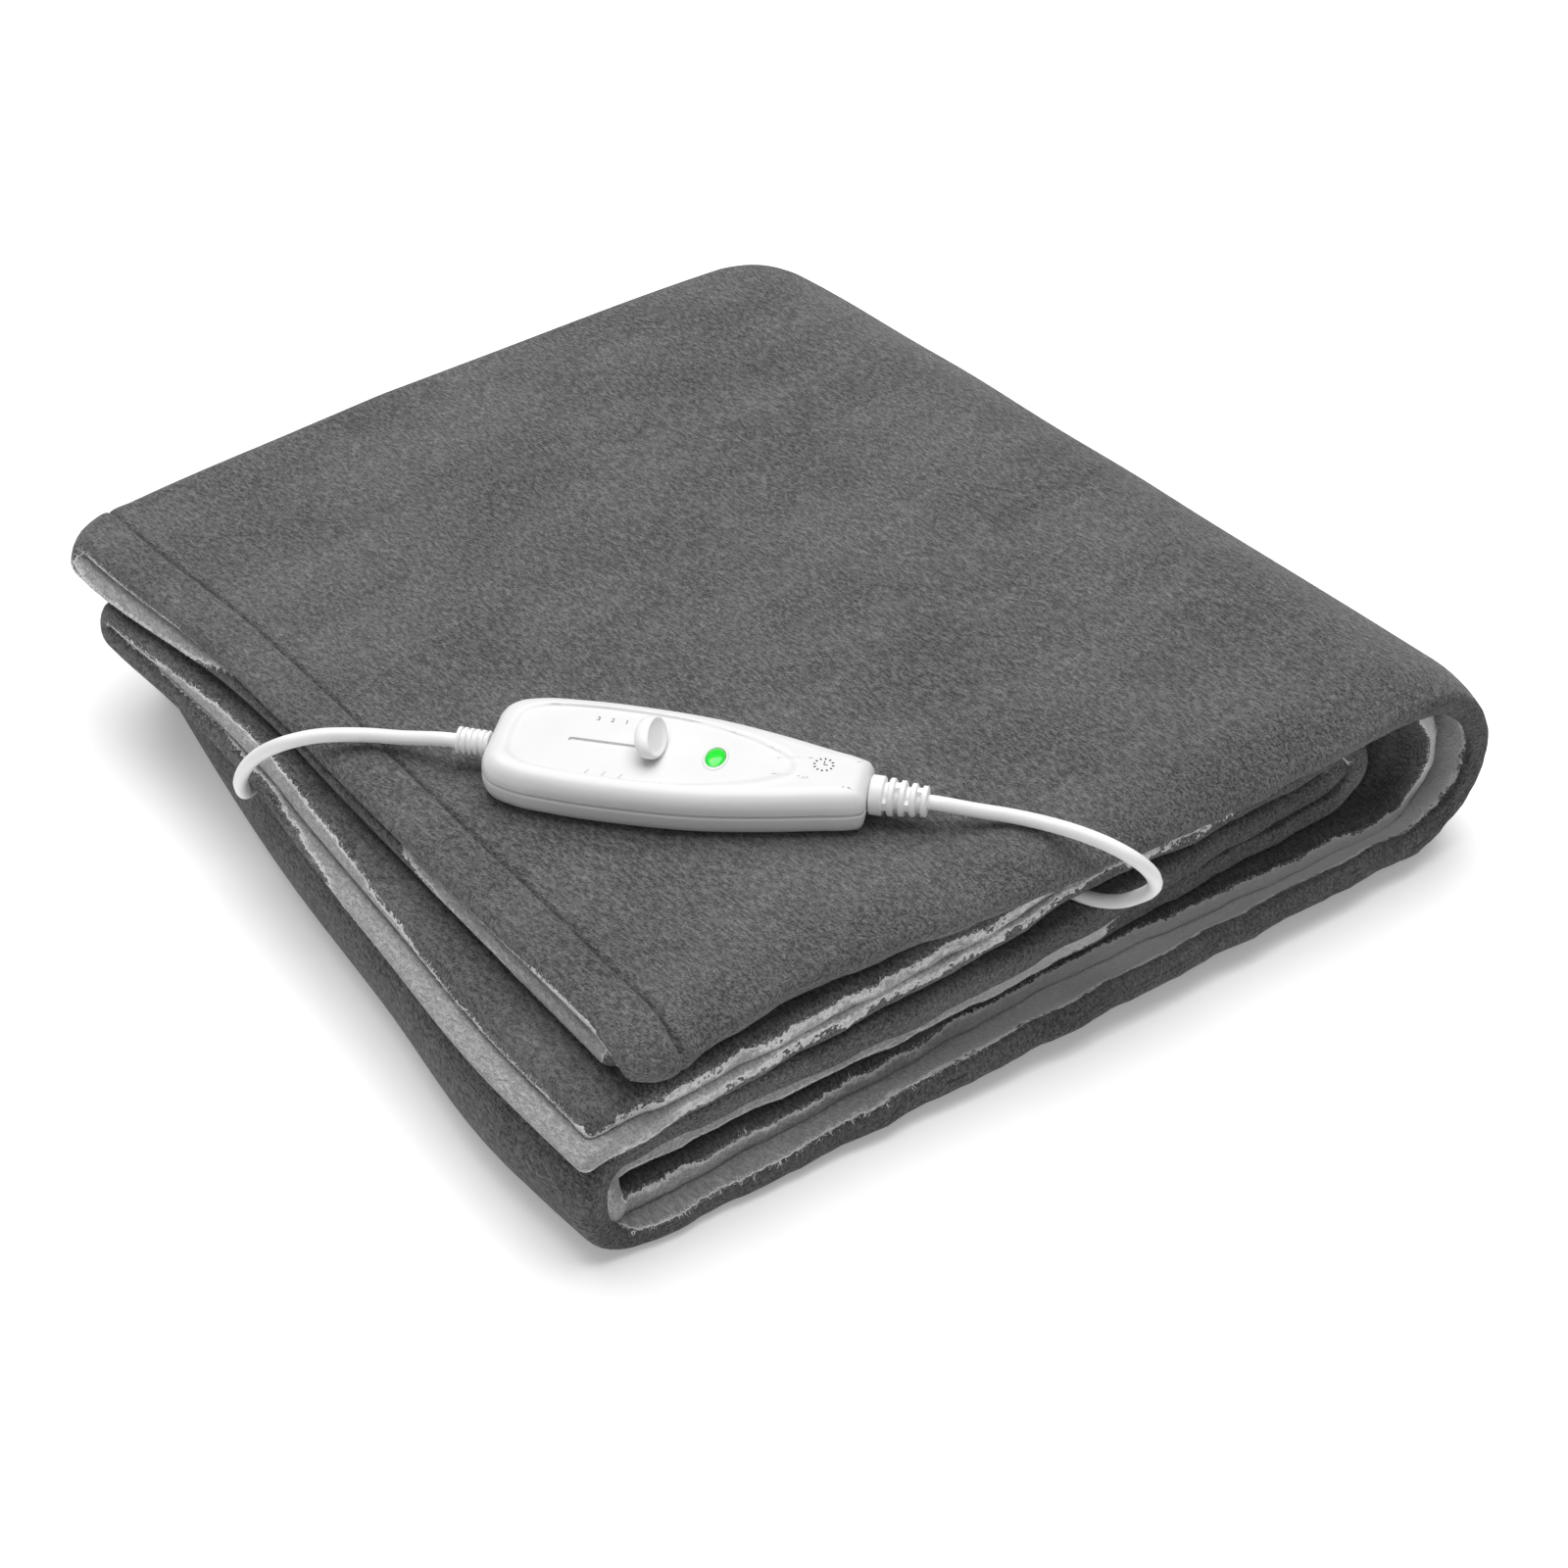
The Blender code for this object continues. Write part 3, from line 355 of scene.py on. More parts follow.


# %% Plush and fleece
# the third plush grey is painted shade, for the seam's groove and the wrinkles beside the pale line
PLUSH_DARK, PLUSH_LIGHT, PLUSH_PAINTED_SHADE = 0.042, 0.205, 0.03
# the third fleece grey is a painted highlight, where the fleece's tips catch the light
FLEECE_DARK, FLEECE_LIGHT, FLEECE_HIGHLIGHT = 0.30, 0.52, 0.85
FLEECE_PAINTED_LIGHT = 0.80        # painted light: the fleece is painted lighter at the right fold and below it, where its recess lies in shade
GRAIN_SIZE, PATCH_SIZE = 1.15, 34.0       # in millimetres
GRAIN_SHARE, PATCH_SHARE = 0.78, 0.22     # of the plush's lightness
FRAY, WANDER = 4.2, 5.0                   # how far fine and coarse noise move the pale line
FRAY_SCALE, WANDER_SCALE = 520.0, 90.0
# the painted highlight on the fleece's tips: where it starts and ends from the line, and its share
HIGHLIGHT_FROM, HIGHLIGHT_TO, HIGHLIGHT_SHARE = 0.3, 1.9, 0.95
# painted shade in the seam's groove: where it is full, where it fades out, and its share
SEAM_SHADE_HALF, SEAM_SHADE_EDGE, SEAM_SHADE_SHARE = 0.2, 1.1, 0.62
STREAKS_A_MM = 4.2        # radians of the wrinkles' sine for each millimetre
STREAKS_WANDER = 16.0     # radians by which noise bends them
WRINKLE_BAND_SHADE = 0.38            # how dark the painted shade of the band is between its wrinkles
PILE_RELIEF = 0.0009      # in metres


def frayed_distance(tree, place, far):
    """Distance from the pale line with noise added, which makes the line ragged."""
    fray = noise_node(tree, place, FRAY_SCALE, 3.0, 0.6)
    wander = noise_node(tree, place, WANDER_SCALE, 2.0, 0.5)
    ragged = math_node(tree, "MULTIPLY_ADD", fray, FRAY, far)
    ragged = math_node(tree, "MULTIPLY_ADD", wander, WANDER, ragged)
    return math_node(tree, "SUBTRACT", ragged, (FRAY + WANDER) / 2)


def seam_groove_shade_mask(tree, place):
    """Painted shade in the seam's groove, weaker here and there where noise breaks it."""
    groove_shade = spread(tree, attribute(tree, "seam_mm"), SEAM_SHADE_HALF, SEAM_SHADE_EDGE, SEAM_SHADE_SHARE, 0.0)
    hidden = spread(tree, noise_node(tree, place, 260.0, 2.0), 0.36, 0.56, 0.35, 1.0)
    return times(tree, groove_shade, hidden)


def wrinkle_shade_mask(tree, place, far):
    """Painted shade: a darker band of plush beside the line, with the shade of fine parallel
    wrinkles in it.

    Lines = the sine of far and a wander, kept where it is high; far is the signed distance.
    The band is only on the right fold and the bottom layer.
    """
    bend = noise_node(tree, place, 45.0, 2.0)
    beat = math_node(tree, "MULTIPLY_ADD", bend, STREAKS_WANDER, times(tree, far, STREAKS_A_MM))
    lines = spread(tree, math_node(tree, "SINE", beat), 0.55, 0.95)
    broken = spread(tree, noise_node(tree, place, 160.0, 2.0), 0.38, 0.6)
    # painted shade of the band, at least this dark between the wrinkles' shade lines
    wrinkle_band_shade = math_node(tree, "MAXIMUM", times(tree, lines, broken), WRINKLE_BAND_SHADE)
    near = times(tree, spread(tree, far, -1.6, -0.6, 1.0, 0.0), spread(tree, far, -15.0, -10.0))
    axes = axes_of(tree, place)
    right = spread(tree, axes["X"], 0.125, 0.165)
    low = spread(tree, axes["Z"], 0.024, 0.015, 0.0, 0.85)
    return times(tree, times(tree, wrinkle_band_shade, near), math_node(tree, "MAXIMUM", right, low))


def fold_light_mask(tree, place):
    """Share of painted light on the fleece: at the right fold, and on the bottom layer below it,
    where shade falls.
    """
    axes = axes_of(tree, place)
    at_fold = spread(tree, axes["X"], 0.09, 0.16, 0.0, 0.55)
    below = times(tree, spread(tree, axes["X"], -0.08, 0.05, 0.0, 0.85),
                  spread(tree, axes["Z"], 0.045, 0.036))
    return math_node(tree, "MAXIMUM", at_fold, below)


def cloth_material():
    """Dark plush and pale fleece, parted where pale_mm plus noise crosses nought."""
    material, tree, shader, place = start_material("plush and fleece", 0.95, specular=0.15)
    shader.inputs["Sheen Weight"].default_value = 0.22
    shader.inputs["Sheen Roughness"].default_value = 0.45
    shader.inputs["Sheen Tint"].default_value = grey(0.9)
    pile = place_group(tree, PILE, place, grain_size=GRAIN_SIZE, patch_size=PATCH_SIZE)
    grain, mottle = pile.outputs["Grain"], pile.outputs["Mottle"]
    far = attribute(tree, "pale_mm")
    ragged = frayed_distance(tree, place, far)
    streaks = wrinkle_shade_mask(tree, place, far)

    light = math_node(tree, "MULTIPLY_ADD", mottle, PATCH_SHARE, times(tree, grain, GRAIN_SHARE))
    plush = mix_colours(tree, light, grey(PLUSH_DARK), grey(PLUSH_LIGHT))
    # painted shade: the seam's groove, and the wrinkles and band beside the pale line
    for mask in (seam_groove_shade_mask(tree, place), streaks):
        plush = mix_colours(tree, mask, plush, grey(PLUSH_PAINTED_SHADE))

    # painted highlight just inside the pale line, where the fleece's tips catch the light
    tips = spread(tree, ragged, HIGHLIGHT_FROM, HIGHLIGHT_TO, HIGHLIGHT_SHARE, 0.0)
    fleece = mix_colours(tree, grain, grey(FLEECE_DARK), grey(FLEECE_LIGHT))
    fleece = mix_colours(tree, tips, fleece, grey(FLEECE_HIGHLIGHT))
    # painted light: lifts the shaded fleece at the right fold and on the bottom layer
    fleece = mix_colours(tree, fold_light_mask(tree, place), fleece, grey(FLEECE_PAINTED_LIGHT))

    pale = spread(tree, ragged, -0.15, 0.15)
    tree.links.new(mix_colours(tree, pale, plush, fleece), shader.inputs["Base Color"])
    height = math_node(tree, "MULTIPLY_ADD", pale, 0.8, grain)
    height = math_node(tree, "MULTIPLY_ADD", streaks, -1.2, height)
    bump_node(tree, shader, height, 0.8, PILE_RELIEF)
    return material


def fibre_material(name, value):
    """Loose fibre tips along the frayed line."""
    material, tree, shader, place = start_material(name, 0.9, specular=0.15)
    shader.inputs["Sheen Weight"].default_value = 0.2
    uneven = noise_node(tree, place, 300.0, 2.0)
    tree.links.new(mix_colours(tree, uneven, grey(value * 0.75), grey(min(1.0, value * 1.2))),
                   shader.inputs["Base Color"])
    return material


# %% Plastics and metal
GLOSS_SWING = 0.05        # how much a moulded face's roughness goes up and down
SATIN_RELIEF = 0.00006    # in metres


def plastic_material(name, value, roughness):
    """Moulded plastic: one grey, a little uneven in gloss, with the mould's faint waves."""
    material, tree, shader, place = start_material(name, roughness)
    mould = place_group(tree, MOULD, place)
    wave = mould.outputs["Wave"]
    colour = mix_colours(tree, wave, grey(value * 0.975), grey(min(1.0, value * 1.02)))
    tree.links.new(colour, shader.inputs["Base Color"])
    gloss = spread(tree, wave, 0.3, 0.7, roughness - GLOSS_SWING, roughness + GLOSS_SWING)
    tree.links.new(gloss, shader.inputs["Roughness"])
    bump_node(tree, shader, mould.outputs["Grain"], 0.12, SATIN_RELIEF)
    return material


def metal_material(name, value, roughness):
    """Plated metal with fine drawing lines along the pin."""
    material, tree, shader, place = start_material(name, roughness, metallic=1.0)
    lines = noise_node(tree, stretched(tree, place, (0.05, 1.0, 1.0)), 1500.0, 2.0)
    dark = (value * 0.85, value * 0.84, value * 0.8, 1.0)
    warm = (value, value * 0.985, value * 0.94, 1.0)
    tree.links.new(mix_colours(tree, lines, dark, warm), shader.inputs["Base Color"])
    gloss = spread(tree, lines, 0.3, 0.7, roughness * 0.8, roughness * 1.3)
    tree.links.new(gloss, shader.inputs["Roughness"])
    return material


def light_material():
    """The lit green lens: a slightly uneven glow under a glossy coat."""
    material, tree, shader, place = start_material("green lens", 0.18)
    cells = noise_node(tree, place, 900.0, 1.0)
    colour = mix_colours(tree, cells, (0.0, 0.55, 0.01, 1.0), (0.01, 0.75, 0.03, 1.0))
    tree.links.new(colour, shader.inputs["Base Color"])
    tree.links.new(colour, shader.inputs["Emission Color"])
    shader.inputs["Emission Strength"].default_value = 0.22
    shader.inputs["Coat Weight"].default_value = 0.5
    return material


def band_material():
    """The dark hook-and-loop band: fine ribs across it."""
    material, tree, shader, place = start_material("dark band", 0.75, specular=0.3)
    ribs = tree.nodes.new("ShaderNodeTexWave")
    ribs.inputs["Scale"].default_value = 320.0
    ribs.bands_direction = "Y"
    tree.links.new(place, ribs.inputs["Vector"])
    tree.links.new(mix_colours(tree, ribs.outputs["Fac"], grey(0.018), grey(0.05)),
                   shader.inputs["Base Color"])
    bump_node(tree, shader, ribs.outputs["Fac"], 0.5, 0.0002)
    return material


CLOTH = cloth_material()
# the fibres' grey is partly painted highlight: lighter than the fleece's own, as their tips catch
# the light
FIBRE = fibre_material("fleece tips", 0.80)
HOUSING = plastic_material("housing plastic", 0.74, 0.34)
KNOB = plastic_material("knob plastic", 0.82, 0.38)
SLEEVE = plastic_material("soft sleeve plastic", 0.85, 0.46)
LEAD_SKIN = plastic_material("lead skin", 0.86, 0.40)
PLUG_SKIN = plastic_material("plug plastic", 0.84, 0.40)
PRINT = plastic_material("printed ink", 0.05, 0.6)
PIN = metal_material("plated pin", 0.78, 0.25)
LENS = light_material()
BAND = band_material()
print("materials made:", len(bpy.data.materials))


# %% [markdown]
# ## The leads
# A lead is a fixed length of something flexible. The mains lead leaves the control's left end,
# goes over the hem, in between the second and the third layer, out at the back and down to the
# floor, where the length that isn't needed lies wound in a coil behind the pile. The blanket's
# own lead leaves the other end and goes back in under the second layer. Each is one bezier curve
# with a round bevel, which starts a little way inside its sleeve.

# %% Routes of the leads
LEAD = 5.0               # diameter of both leads
MAINS_ROUTE = (
    (53.7, 152.9, 88.7),
    (51.0, 155.9, 88.7), (40.6, 171.9, 84.5), (30.8, 183.8, 82.7), (18.5, 192.2, 82.4),
    (10.2, 197.8, 79.9), (5.3, 204.5, 74.2), (2.0, 213.6, 62.9), (2.2, 219.8, 52.0),
    (5.2, 223.5, 44.5), (10.8, 228.4, 41.1), (19.2, 240.3, 41.2), (28.9, 263.1, 40.8),
    (37.4, 287.9, 40.4), (45.1, 312.9, 40.0), (52.1, 338.1, 39.7), (58.6, 357.9, 38.8),
    (64.4, 368.0, 35.8), (70.6, 374.0, 30.3), (77.7, 376.7, 21.7), (87.0, 376.0, 11.2),
    (96.9, 374.0, 5.3), (111.2, 371.5, 3.0), (136.0, 369.7, 2.7), (162.2, 369.5, 2.7),
    (188.3, 369.4, 2.7), (214.5, 370.1, 2.7), (240.7, 370.8, 2.9), (266.8, 371.0, 3.9),
)
BLANKET_ROUTE = (
    (156.5, 39.0, 89.0),
    (159.2, 36.0, 89.0), (170.8, 27.9, 85.6), (179.8, 21.0, 83.5), (187.2, 12.2, 82.6),
    (194.4, -1.4, 82.5), (199.0, -11.5, 81.2), (202.6, -16.7, 78.2), (206.5, -18.8, 72.9),
    (209.6, -17.7, 66.7), (211.8, -13.8, 59.8), (212.3, -7.1, 52.1), (210.8, -0.6, 46.4),
    (208.0, 6.7, 43.2), (203.7, 18.2, 42.0), (197.5, 38.0, 42.0),
)
TAIL_ROUTE = (
    (258.8, 418.9, 18.3), (253.3, 416.0, 16.5), (247.6, 413.9, 13.9), (238.7, 412.8, 9.8),
    (231.0, 412.8, 7.4), (224.9, 412.8, 7.0),
)
# first and last point of the routes that lie between layers
MAINS_UNDER, MAINS_OUT = 10, 18
BLANKET_UNDER = 13

# %% Winding the coil
COIL_CENTRE = (285.0, 401.5)
COIL_INSIDE, COIL_OUTSIDE = 20.5, 30.5        # radii of the innermost and the outermost turn
COIL_LOWEST = 4.0
COIL_LAYERS = (2.0, 2.0, 2.0, 1.625)          # turns in each layer, from the floor up
POINTS_A_TURN = 16
CLIMB_FROM, CLIMB_TO = -40.0, 50.0            # degrees about a layer's start


def coil_route():
    """Centre line of the coil: flat spirals, inwards and outwards in turn, one on another.

    Radius runs in a straight line with the angle, r = r0 + (r1 - r0) a / a1, and the height goes
    up one diameter between layers by a smooth step.
    """
    turns = sum(COIL_LAYERS)
    angle = np.linspace(0, 360 * turns, int(turns * POINTS_A_TURN) + 1)
    starts = 360 * np.concatenate(((0,), np.cumsum(COIL_LAYERS)))
    ends = [COIL_OUTSIDE if k % 2 == 0 else COIL_INSIDE for k in range(len(starts))]
    radius = np.interp(angle, starts, ends)
    climb = CLIMB_TO - CLIMB_FROM
    height = COIL_LOWEST + sum(LEAD * smooth_step((angle - start - CLIMB_FROM) / climb)
                               for start in starts[1:-1])
    polar = np.radians(angle - 90)
    return np.stack((COIL_CENTRE[0] + radius * np.cos(polar),
                     COIL_CENTRE[1] + radius * np.sin(polar), height), axis=1)


# %% A lead as a bezier curve
def lead_piece(name, route, stands_for):
    """A round lead: handles a third of the way along each span, on the route's own slopes."""
    points = pile_to_frame(route)
    reach = np.concatenate(((0,), np.cumsum(np.linalg.norm(np.diff(points, axis=0), axis=1))))
    slope = np.gradient(points, reach, axis=0)
    span = np.diff(reach)
    before = points - slope * np.concatenate((span[:1], span))[:, None] / 3
    after = points + slope * np.concatenate((span, span[-1:]))[:, None] / 3
    curve = bpy.data.curves.new(name, "CURVE")
    curve.dimensions = "3D"
    curve.bevel_depth = LEAD / 2 * MM
    curve.bevel_resolution = 4
    curve.resolution_u = 6
    curve.use_fill_caps = True
    spline = curve.splines.new("BEZIER")
    spline.bezier_points.add(len(points) - 1)
    for label, values in (("co", points), ("handle_left", before), ("handle_right", after)):
        spline.bezier_points.foreach_set(label, values.ravel())
    piece = add_piece(name, curve, LEAD_SKIN, stands_for=stands_for)
    print(name, "points", len(points), "rough length", round(float(reach[-1]), 3), "m")
    return piece


MAINS_LINE = np.vstack((MAINS_ROUTE, coil_route(), TAIL_ROUTE))
mains = lead_piece("lead_to_mains", MAINS_LINE, ("mains_lead", "mains_coil", "plug_tail"))
own = lead_piece("lead_to_blanket", BLANKET_ROUTE, ("blanket_lead",))

# %% [markdown]
# ## The cloth
# A section across the pile shows the cloth as a U lying on its side: an outer ply, a round fold
# at the back and another ply, each with a half-round front edge. That U is carried along a line
# wound four times over itself. Numbers on this line name places: 0 is the hem, 1 to 2 goes round
# the right edge, 2 to 3 is the bottom layer, 3 to 4 the left edge, 4 to 5 the third layer, 5 to 6
# the inner fold, and 7 is the second layer's end. The tables give the outline at some depths and
# where the open edges lie, so that the cloth is as uneven as the real one.

# %% Sizes of the cloth
PLY = 8.7                # one thickness of the cloth
PAIR = 9.25              # half the thickness of a double layer
PITCH = 20.4             # from one double layer to the next
FOLD_SWELL = 15.0        # half thickness where the cloth goes loosely round the right edge
LEVEL_4 = PAIR
LEVEL_3 = LEVEL_4 + PITCH
LEVEL_2 = LEVEL_3 + PITCH
LEVEL_1 = LEVEL_2 + PITCH
TOP = LEVEL_1 + PAIR
CURL_REACH = 17.0
SHARED_FROM = 46.0
END_REACH = 42.0
TOP_RUN = 318.0
UNDER_RUN = 315.0
THIN_END = 0.12
HEM_SLIDE = 4.5          # how far the hem's lower ply stands out at the back corner
HEM_SLIDE_FROM, HEM_SLIDE_OVER = 235.0, 110.0  # it starts at this y and grows over this length

# y, left fold, hem, second layer's end, right fold, inner fold, droop of the hem's upper ply, step
EDGE_ROWS = (
    (-15, -1.0, 17.5, -2.5, 382.0, 337.0, 0.0, 8.0),
    (60, -5.0, 18.0, -4.5, 378.0, 334.0, 0.5, 8.5),
    (130, 2.5, 18.5, 0.5, 373.5, 330.0, 2.5, 7.0),
    (210, 9.5, 19.5, 6.5, 368.5, 325.0, 4.0, 4.5),
    (290, 21.0, 18.0, 9.5, 363.0, 320.0, 0.5, 2.5),
    (345, 31.0, 15.0, 9.5, 358.5, 316.0, 0.0, 1.5),
    (390, 41.0, 15.0, 14.0, 350.0, 308.0, 0.0, 2.0),
)
# number on the line, front y of the outer and the other ply, their curls, y of the back fold
RIM_ROWS = (
    (0.00, 4.5, 16.0, 4.0, 0.0, 365.0),
    (0.03, 0.5, 15.0, 7.0, 0.0, 370.0),
    (0.07, 1.0, 15.0, 7.0, 0.0, 371.0),
    (0.12, 2.5, 15.0, 5.5, 0.0, 372.0),
    (0.17, 4.0, 15.0, 4.0, 0.0, 372.5),
    (0.30, 3.0, 14.0, 4.5, 0.0, 373.0),
    (0.45, -0.5, 12.5, 7.0, 0.0, 373.5),
    (0.60, -3.0, 12.0, 9.0, 0.0, 374.0),
    (0.90, -4.0, 11.0, 8.0, 0.0, 374.5),
    (1.15, -5.0, 8.0, 5.0, 1.0, 371.0),
    (1.50, -6.5, 4.5, 3.0, 2.5, 366.0),
    (1.85, -9.0, 5.0, 5.0, 1.0, 363.0),
    (2.15, -11.0, 7.0, 8.0, 0.0, 361.0),
    (2.45, -10.5, 11.0, 7.0, 0.0, 361.0),
    (2.70, -6.5, 8.0, 3.0, 0.0, 361.0),
    (2.90, -3.5, 6.5, 0.5, 0.0, 358.0),
    (3.50, 1.0, 2.5, 0.0, 0.0, 356.0),
    (4.10, 7.0, 10.0, 0.0, 0.0, 357.0),
    (4.40, 3.8, 7.0, 0.0, 0.4, 360.0),
    (4.65, 7.0, 8.0, 0.2, 0.4, 361.0),
    (4.90, 13.0, 11.0, 0.2, 0.4, 361.0),
    (5.50, 13.0, 10.0, 0.2, 0.4, 363.0),
    (6.10, 12.0, 12.0, 0.0, 0.0, 366.0),
    (6.40, 8.0, 8.5, 0.0, 0.0, 365.0),
    (6.70, 5.0, 5.5, 0.0, 0.0, 362.0),
    (6.90, 1.5, 4.0, 0.0, 0.0, 354.0),
    (7.00, -1.0, 5.0, 0.0, 0.0, 343.0),
)
# x, y, direction of the crest in degrees, reach along it and across it, height
WAVE_ROWS = (
    (150, 300, 18, 150, 24, 2.2),
    (275, 215, 30, 120, 26, 2.4),
    (300, 120, 40, 110, 22, 1.8),
    (90, 235, 25, 70, 20, 1.4),
    (235, 345, 8, 100, 18, 1.6),
)
SAG = 0.10
SAG_X, SAG_Y = 150.0, 170.0
SECOND_WAVE = 0.35
LEAD_ROOM = 4.6
ROOM_REACH = 30.0

# %% [markdown]
# ### Where plush ends and fleece begins
# The plush wraps round each open edge and stops at a ragged line. `dark share` says how much of
# an edge's half circle it covers, measured from its dark face: 0.2 leaves nearly all of the edge
# pale, 1.2 hides the fleece for good.

# %% Shares of plush on the edges
# number on the line, dark share of the outer and of the other ply's front edge, and the share
# of the other edge's pale side that the outer ply's plush hangs over
FRONT_SHARES = (
    (0.00, 1.25, 1.25, 0.0), (0.95, 1.25, 1.25, 0.0), (1.15, 0.98, 0.50, 0.0),
    (1.50, 0.98, 0.42, 0.0), (1.85, 0.98, 0.40, 0.0), (2.10, 0.98, 0.34, 0.0),
    (2.50, 0.98, 0.34, 0.0), (2.72, 0.86, 0.36, 0.0), (2.88, 0.76, 0.34, 0.0),
    (3.00, 0.74, 0.30, 0.0), (3.20, 0.97, 0.22, 0.05), (3.35, 1.25, 0.20, 0.22),
    (3.50, 1.25, 0.24, 0.30), (3.90, 1.25, 0.32, 0.26), (4.20, 1.25, 0.34, 0.22),
    (4.40, 1.25, 0.34, 0.22), (4.62, 1.25, 0.40, 0.30), (4.74, 1.25, 0.95, 0.40),
    (4.80, 1.25, 1.25, 0.40), (5.55, 1.25, 1.25, 0.0), (5.62, 0.97, 0.97, 0.0),
    (5.82, 0.78, 0.90, 0.0), (6.05, 0.64, 0.74, 0.0), (6.20, 0.56, 0.56, 0.0),
    (6.50, 0.52, 0.48, 0.0), (6.85, 0.46, 0.46, 0.0), (7.00, 0.34, 0.55, 0.0),
)
# y, dark share of the hem's outer and other ply, and of the second layer's outer and other ply
END_SHARES = (
    (-5, 1.25, 1.25, 0.30, 0.62), (4, 0.85, 0.75, 0.14, 0.66), (12, 0.66, 0.44, 0.06, 0.70),
    (85, 0.64, 0.42, 0.08, 0.72), (125, 0.72, 0.50, 0.20, 0.55), (152, 1.00, 0.95, 0.34, 0.36),
    (165, 1.25, 1.25, 0.50, 0.25), (195, 1.25, 1.25, 0.72, 0.12), (238, 1.25, 1.20, 0.90, 0.06),
    (258, 0.85, 0.75, 0.94, 0.20), (285, 0.66, 0.44, 0.98, 0.40), (318, 0.62, 0.42, 1.05, 0.55),
    (334, 0.60, 0.44, 1.10, 0.62), (346, 0.60, 0.46, 1.25, 0.80), (354, 0.60, 0.48, 1.25, 1.25),
    (380, 0.60, 0.50, 1.25, 1.25),
)
END_BLEND = 9.0          # how far behind an end its own shares count
NO_FLEECE = 1.1          # from this share on the pale face is dark too


# %% [markdown]
# ### The section, the line and the folds
# The functions below are the folding itself. `fold_line` is the middle of the doubled cloth,
# `across_line` the direction across it, `ply_section` one ply with its curled edge, and `place`
# puts a point of the section into the pile, with the droop of the hem, the room that the cloth
# makes for the leads, the sag of the back corner and the soft waves of the top.

# %% Line and section
def distance_to_route(x, y, route):
    """Distance in plan to a route: the least of |p - a - s (b - a)| over its spans, 0 <= s <= 1."""
    best = np.full(np.shape(x), 1e9)
    for (ax, ay, _), (bx, by, _) in zip(route, route[1:]):
        length = math.hypot(bx - ax, by - ay)
        share = np.clip(((x - ax) * (bx - ax) + (y - ay) * (by - ay)) / length ** 2, 0, 1)
        best = np.minimum(best, np.hypot(x - ax - share * (bx - ax), y - ay - share * (by - ay)))
    return best


def room_for_leads(x, y, z):
    """Push over a lead: LEAD_ROOM exp(-(d / reach)^4), fading to nothing at the top."""
    mains_far = distance_to_route(x, y, MAINS_ROUTE[MAINS_UNDER:MAINS_OUT])
    own_far = distance_to_route(x, y, BLANKET_ROUTE[BLANKET_UNDER:])
    between = (LEVEL_3 + LEVEL_2) / 2
    share = np.where(z > between, np.clip((TOP - z) / (TOP - between), 0, 1), 0)
    return LEAD_ROOM * share * np.exp(-(np.minimum(mains_far, own_far) / ROOM_REACH) ** 4)


def half_thickness(line):
    """PAIR, swelling by sin^2 where the cloth goes round the right edge."""
    return PAIR + (FOLD_SWELL - PAIR) * np.sin(np.pi * np.clip(line - 1, 0, 1)) ** 2


def waves(x, y):
    """Sum of long low ridges, each h exp(-(u / along)^2 - (v / across)^2) in its own direction."""
    height = np.zeros(np.shape(x))
    for wx, wy, turn, along, across, high in WAVE_ROWS:
        c, s = math.cos(math.radians(turn)), math.sin(math.radians(turn))
        u, v = (x - wx) * c + (y - wy) * s, -(x - wx) * s + (y - wy) * c
        height += high * np.exp(-(u / along) ** 2 - (v / across) ** 2)
    return height


def squeeze(x, y):
    """Share of its height that the pile keeps: less at the left back corner."""
    side = np.clip((SAG_X - x) / SAG_X, 0, 1.2)
    back = np.clip((y - SAG_Y) / (390.0 - SAG_Y), 0, 1)
    return 1 - SAG * side * (3 * back ** 2 - 2 * back ** 3)


def fold_line(line, y):
    """Middle of the doubled cloth in x and z: straight runs joined by half circles and one oval."""
    left, hem, under, right, inner, _, _ = rows_at(EDGE_ROWS, y)
    turn = PITCH / 2
    left_x = left + turn + PAIR
    inner_x = inner - turn - PAIR
    outer_rise = (LEVEL_1 - LEVEL_4) / 2
    right_x = right - outer_rise - FOLD_SWELL
    share = line - np.floor(line)
    angle = np.pi * share
    runs = (
        (hem + share * (right_x - hem), LEVEL_1 + 0 * share),
        (right_x + outer_rise * np.sin(angle), LEVEL_4 + outer_rise * (1 + np.cos(angle))),
        (right_x + share * (left_x - right_x), LEVEL_4 + 0 * share),
        (left_x - turn * np.sin(angle), LEVEL_4 + turn * (1 - np.cos(angle))),
        (left_x + share * (inner_x - left_x), LEVEL_3 + 0 * share),
        (inner_x + turn * np.sin(angle), LEVEL_3 + turn * (1 - np.cos(angle))),
        (inner_x + share * (under - inner_x), LEVEL_2 + 0 * share),
        (under - share * (inner_x - under), LEVEL_2 + 0 * share),
    )
    part = np.clip(np.floor(line).astype(int), 0, 7)
    x = np.choose(part, [run[0] for run in runs])
    z = np.choose(part, [run[1] for run in runs])
    before = line < 0
    return np.where(before, hem + line * (right_x - hem), x), np.where(before, LEVEL_1, z)


def across_line(line, y):
    """Unit direction along the line and, turned a quarter, across it towards the outer ply."""
    step = 0.004
    x0, z0 = fold_line(line - step, y)
    x1, z1 = fold_line(line + step, y)
    length = np.hypot(x1 - x0, z1 - z0)
    along_x, along_z = (x1 - x0) / length, (z1 - z0) / length
    return along_x, along_z, -along_z, along_x


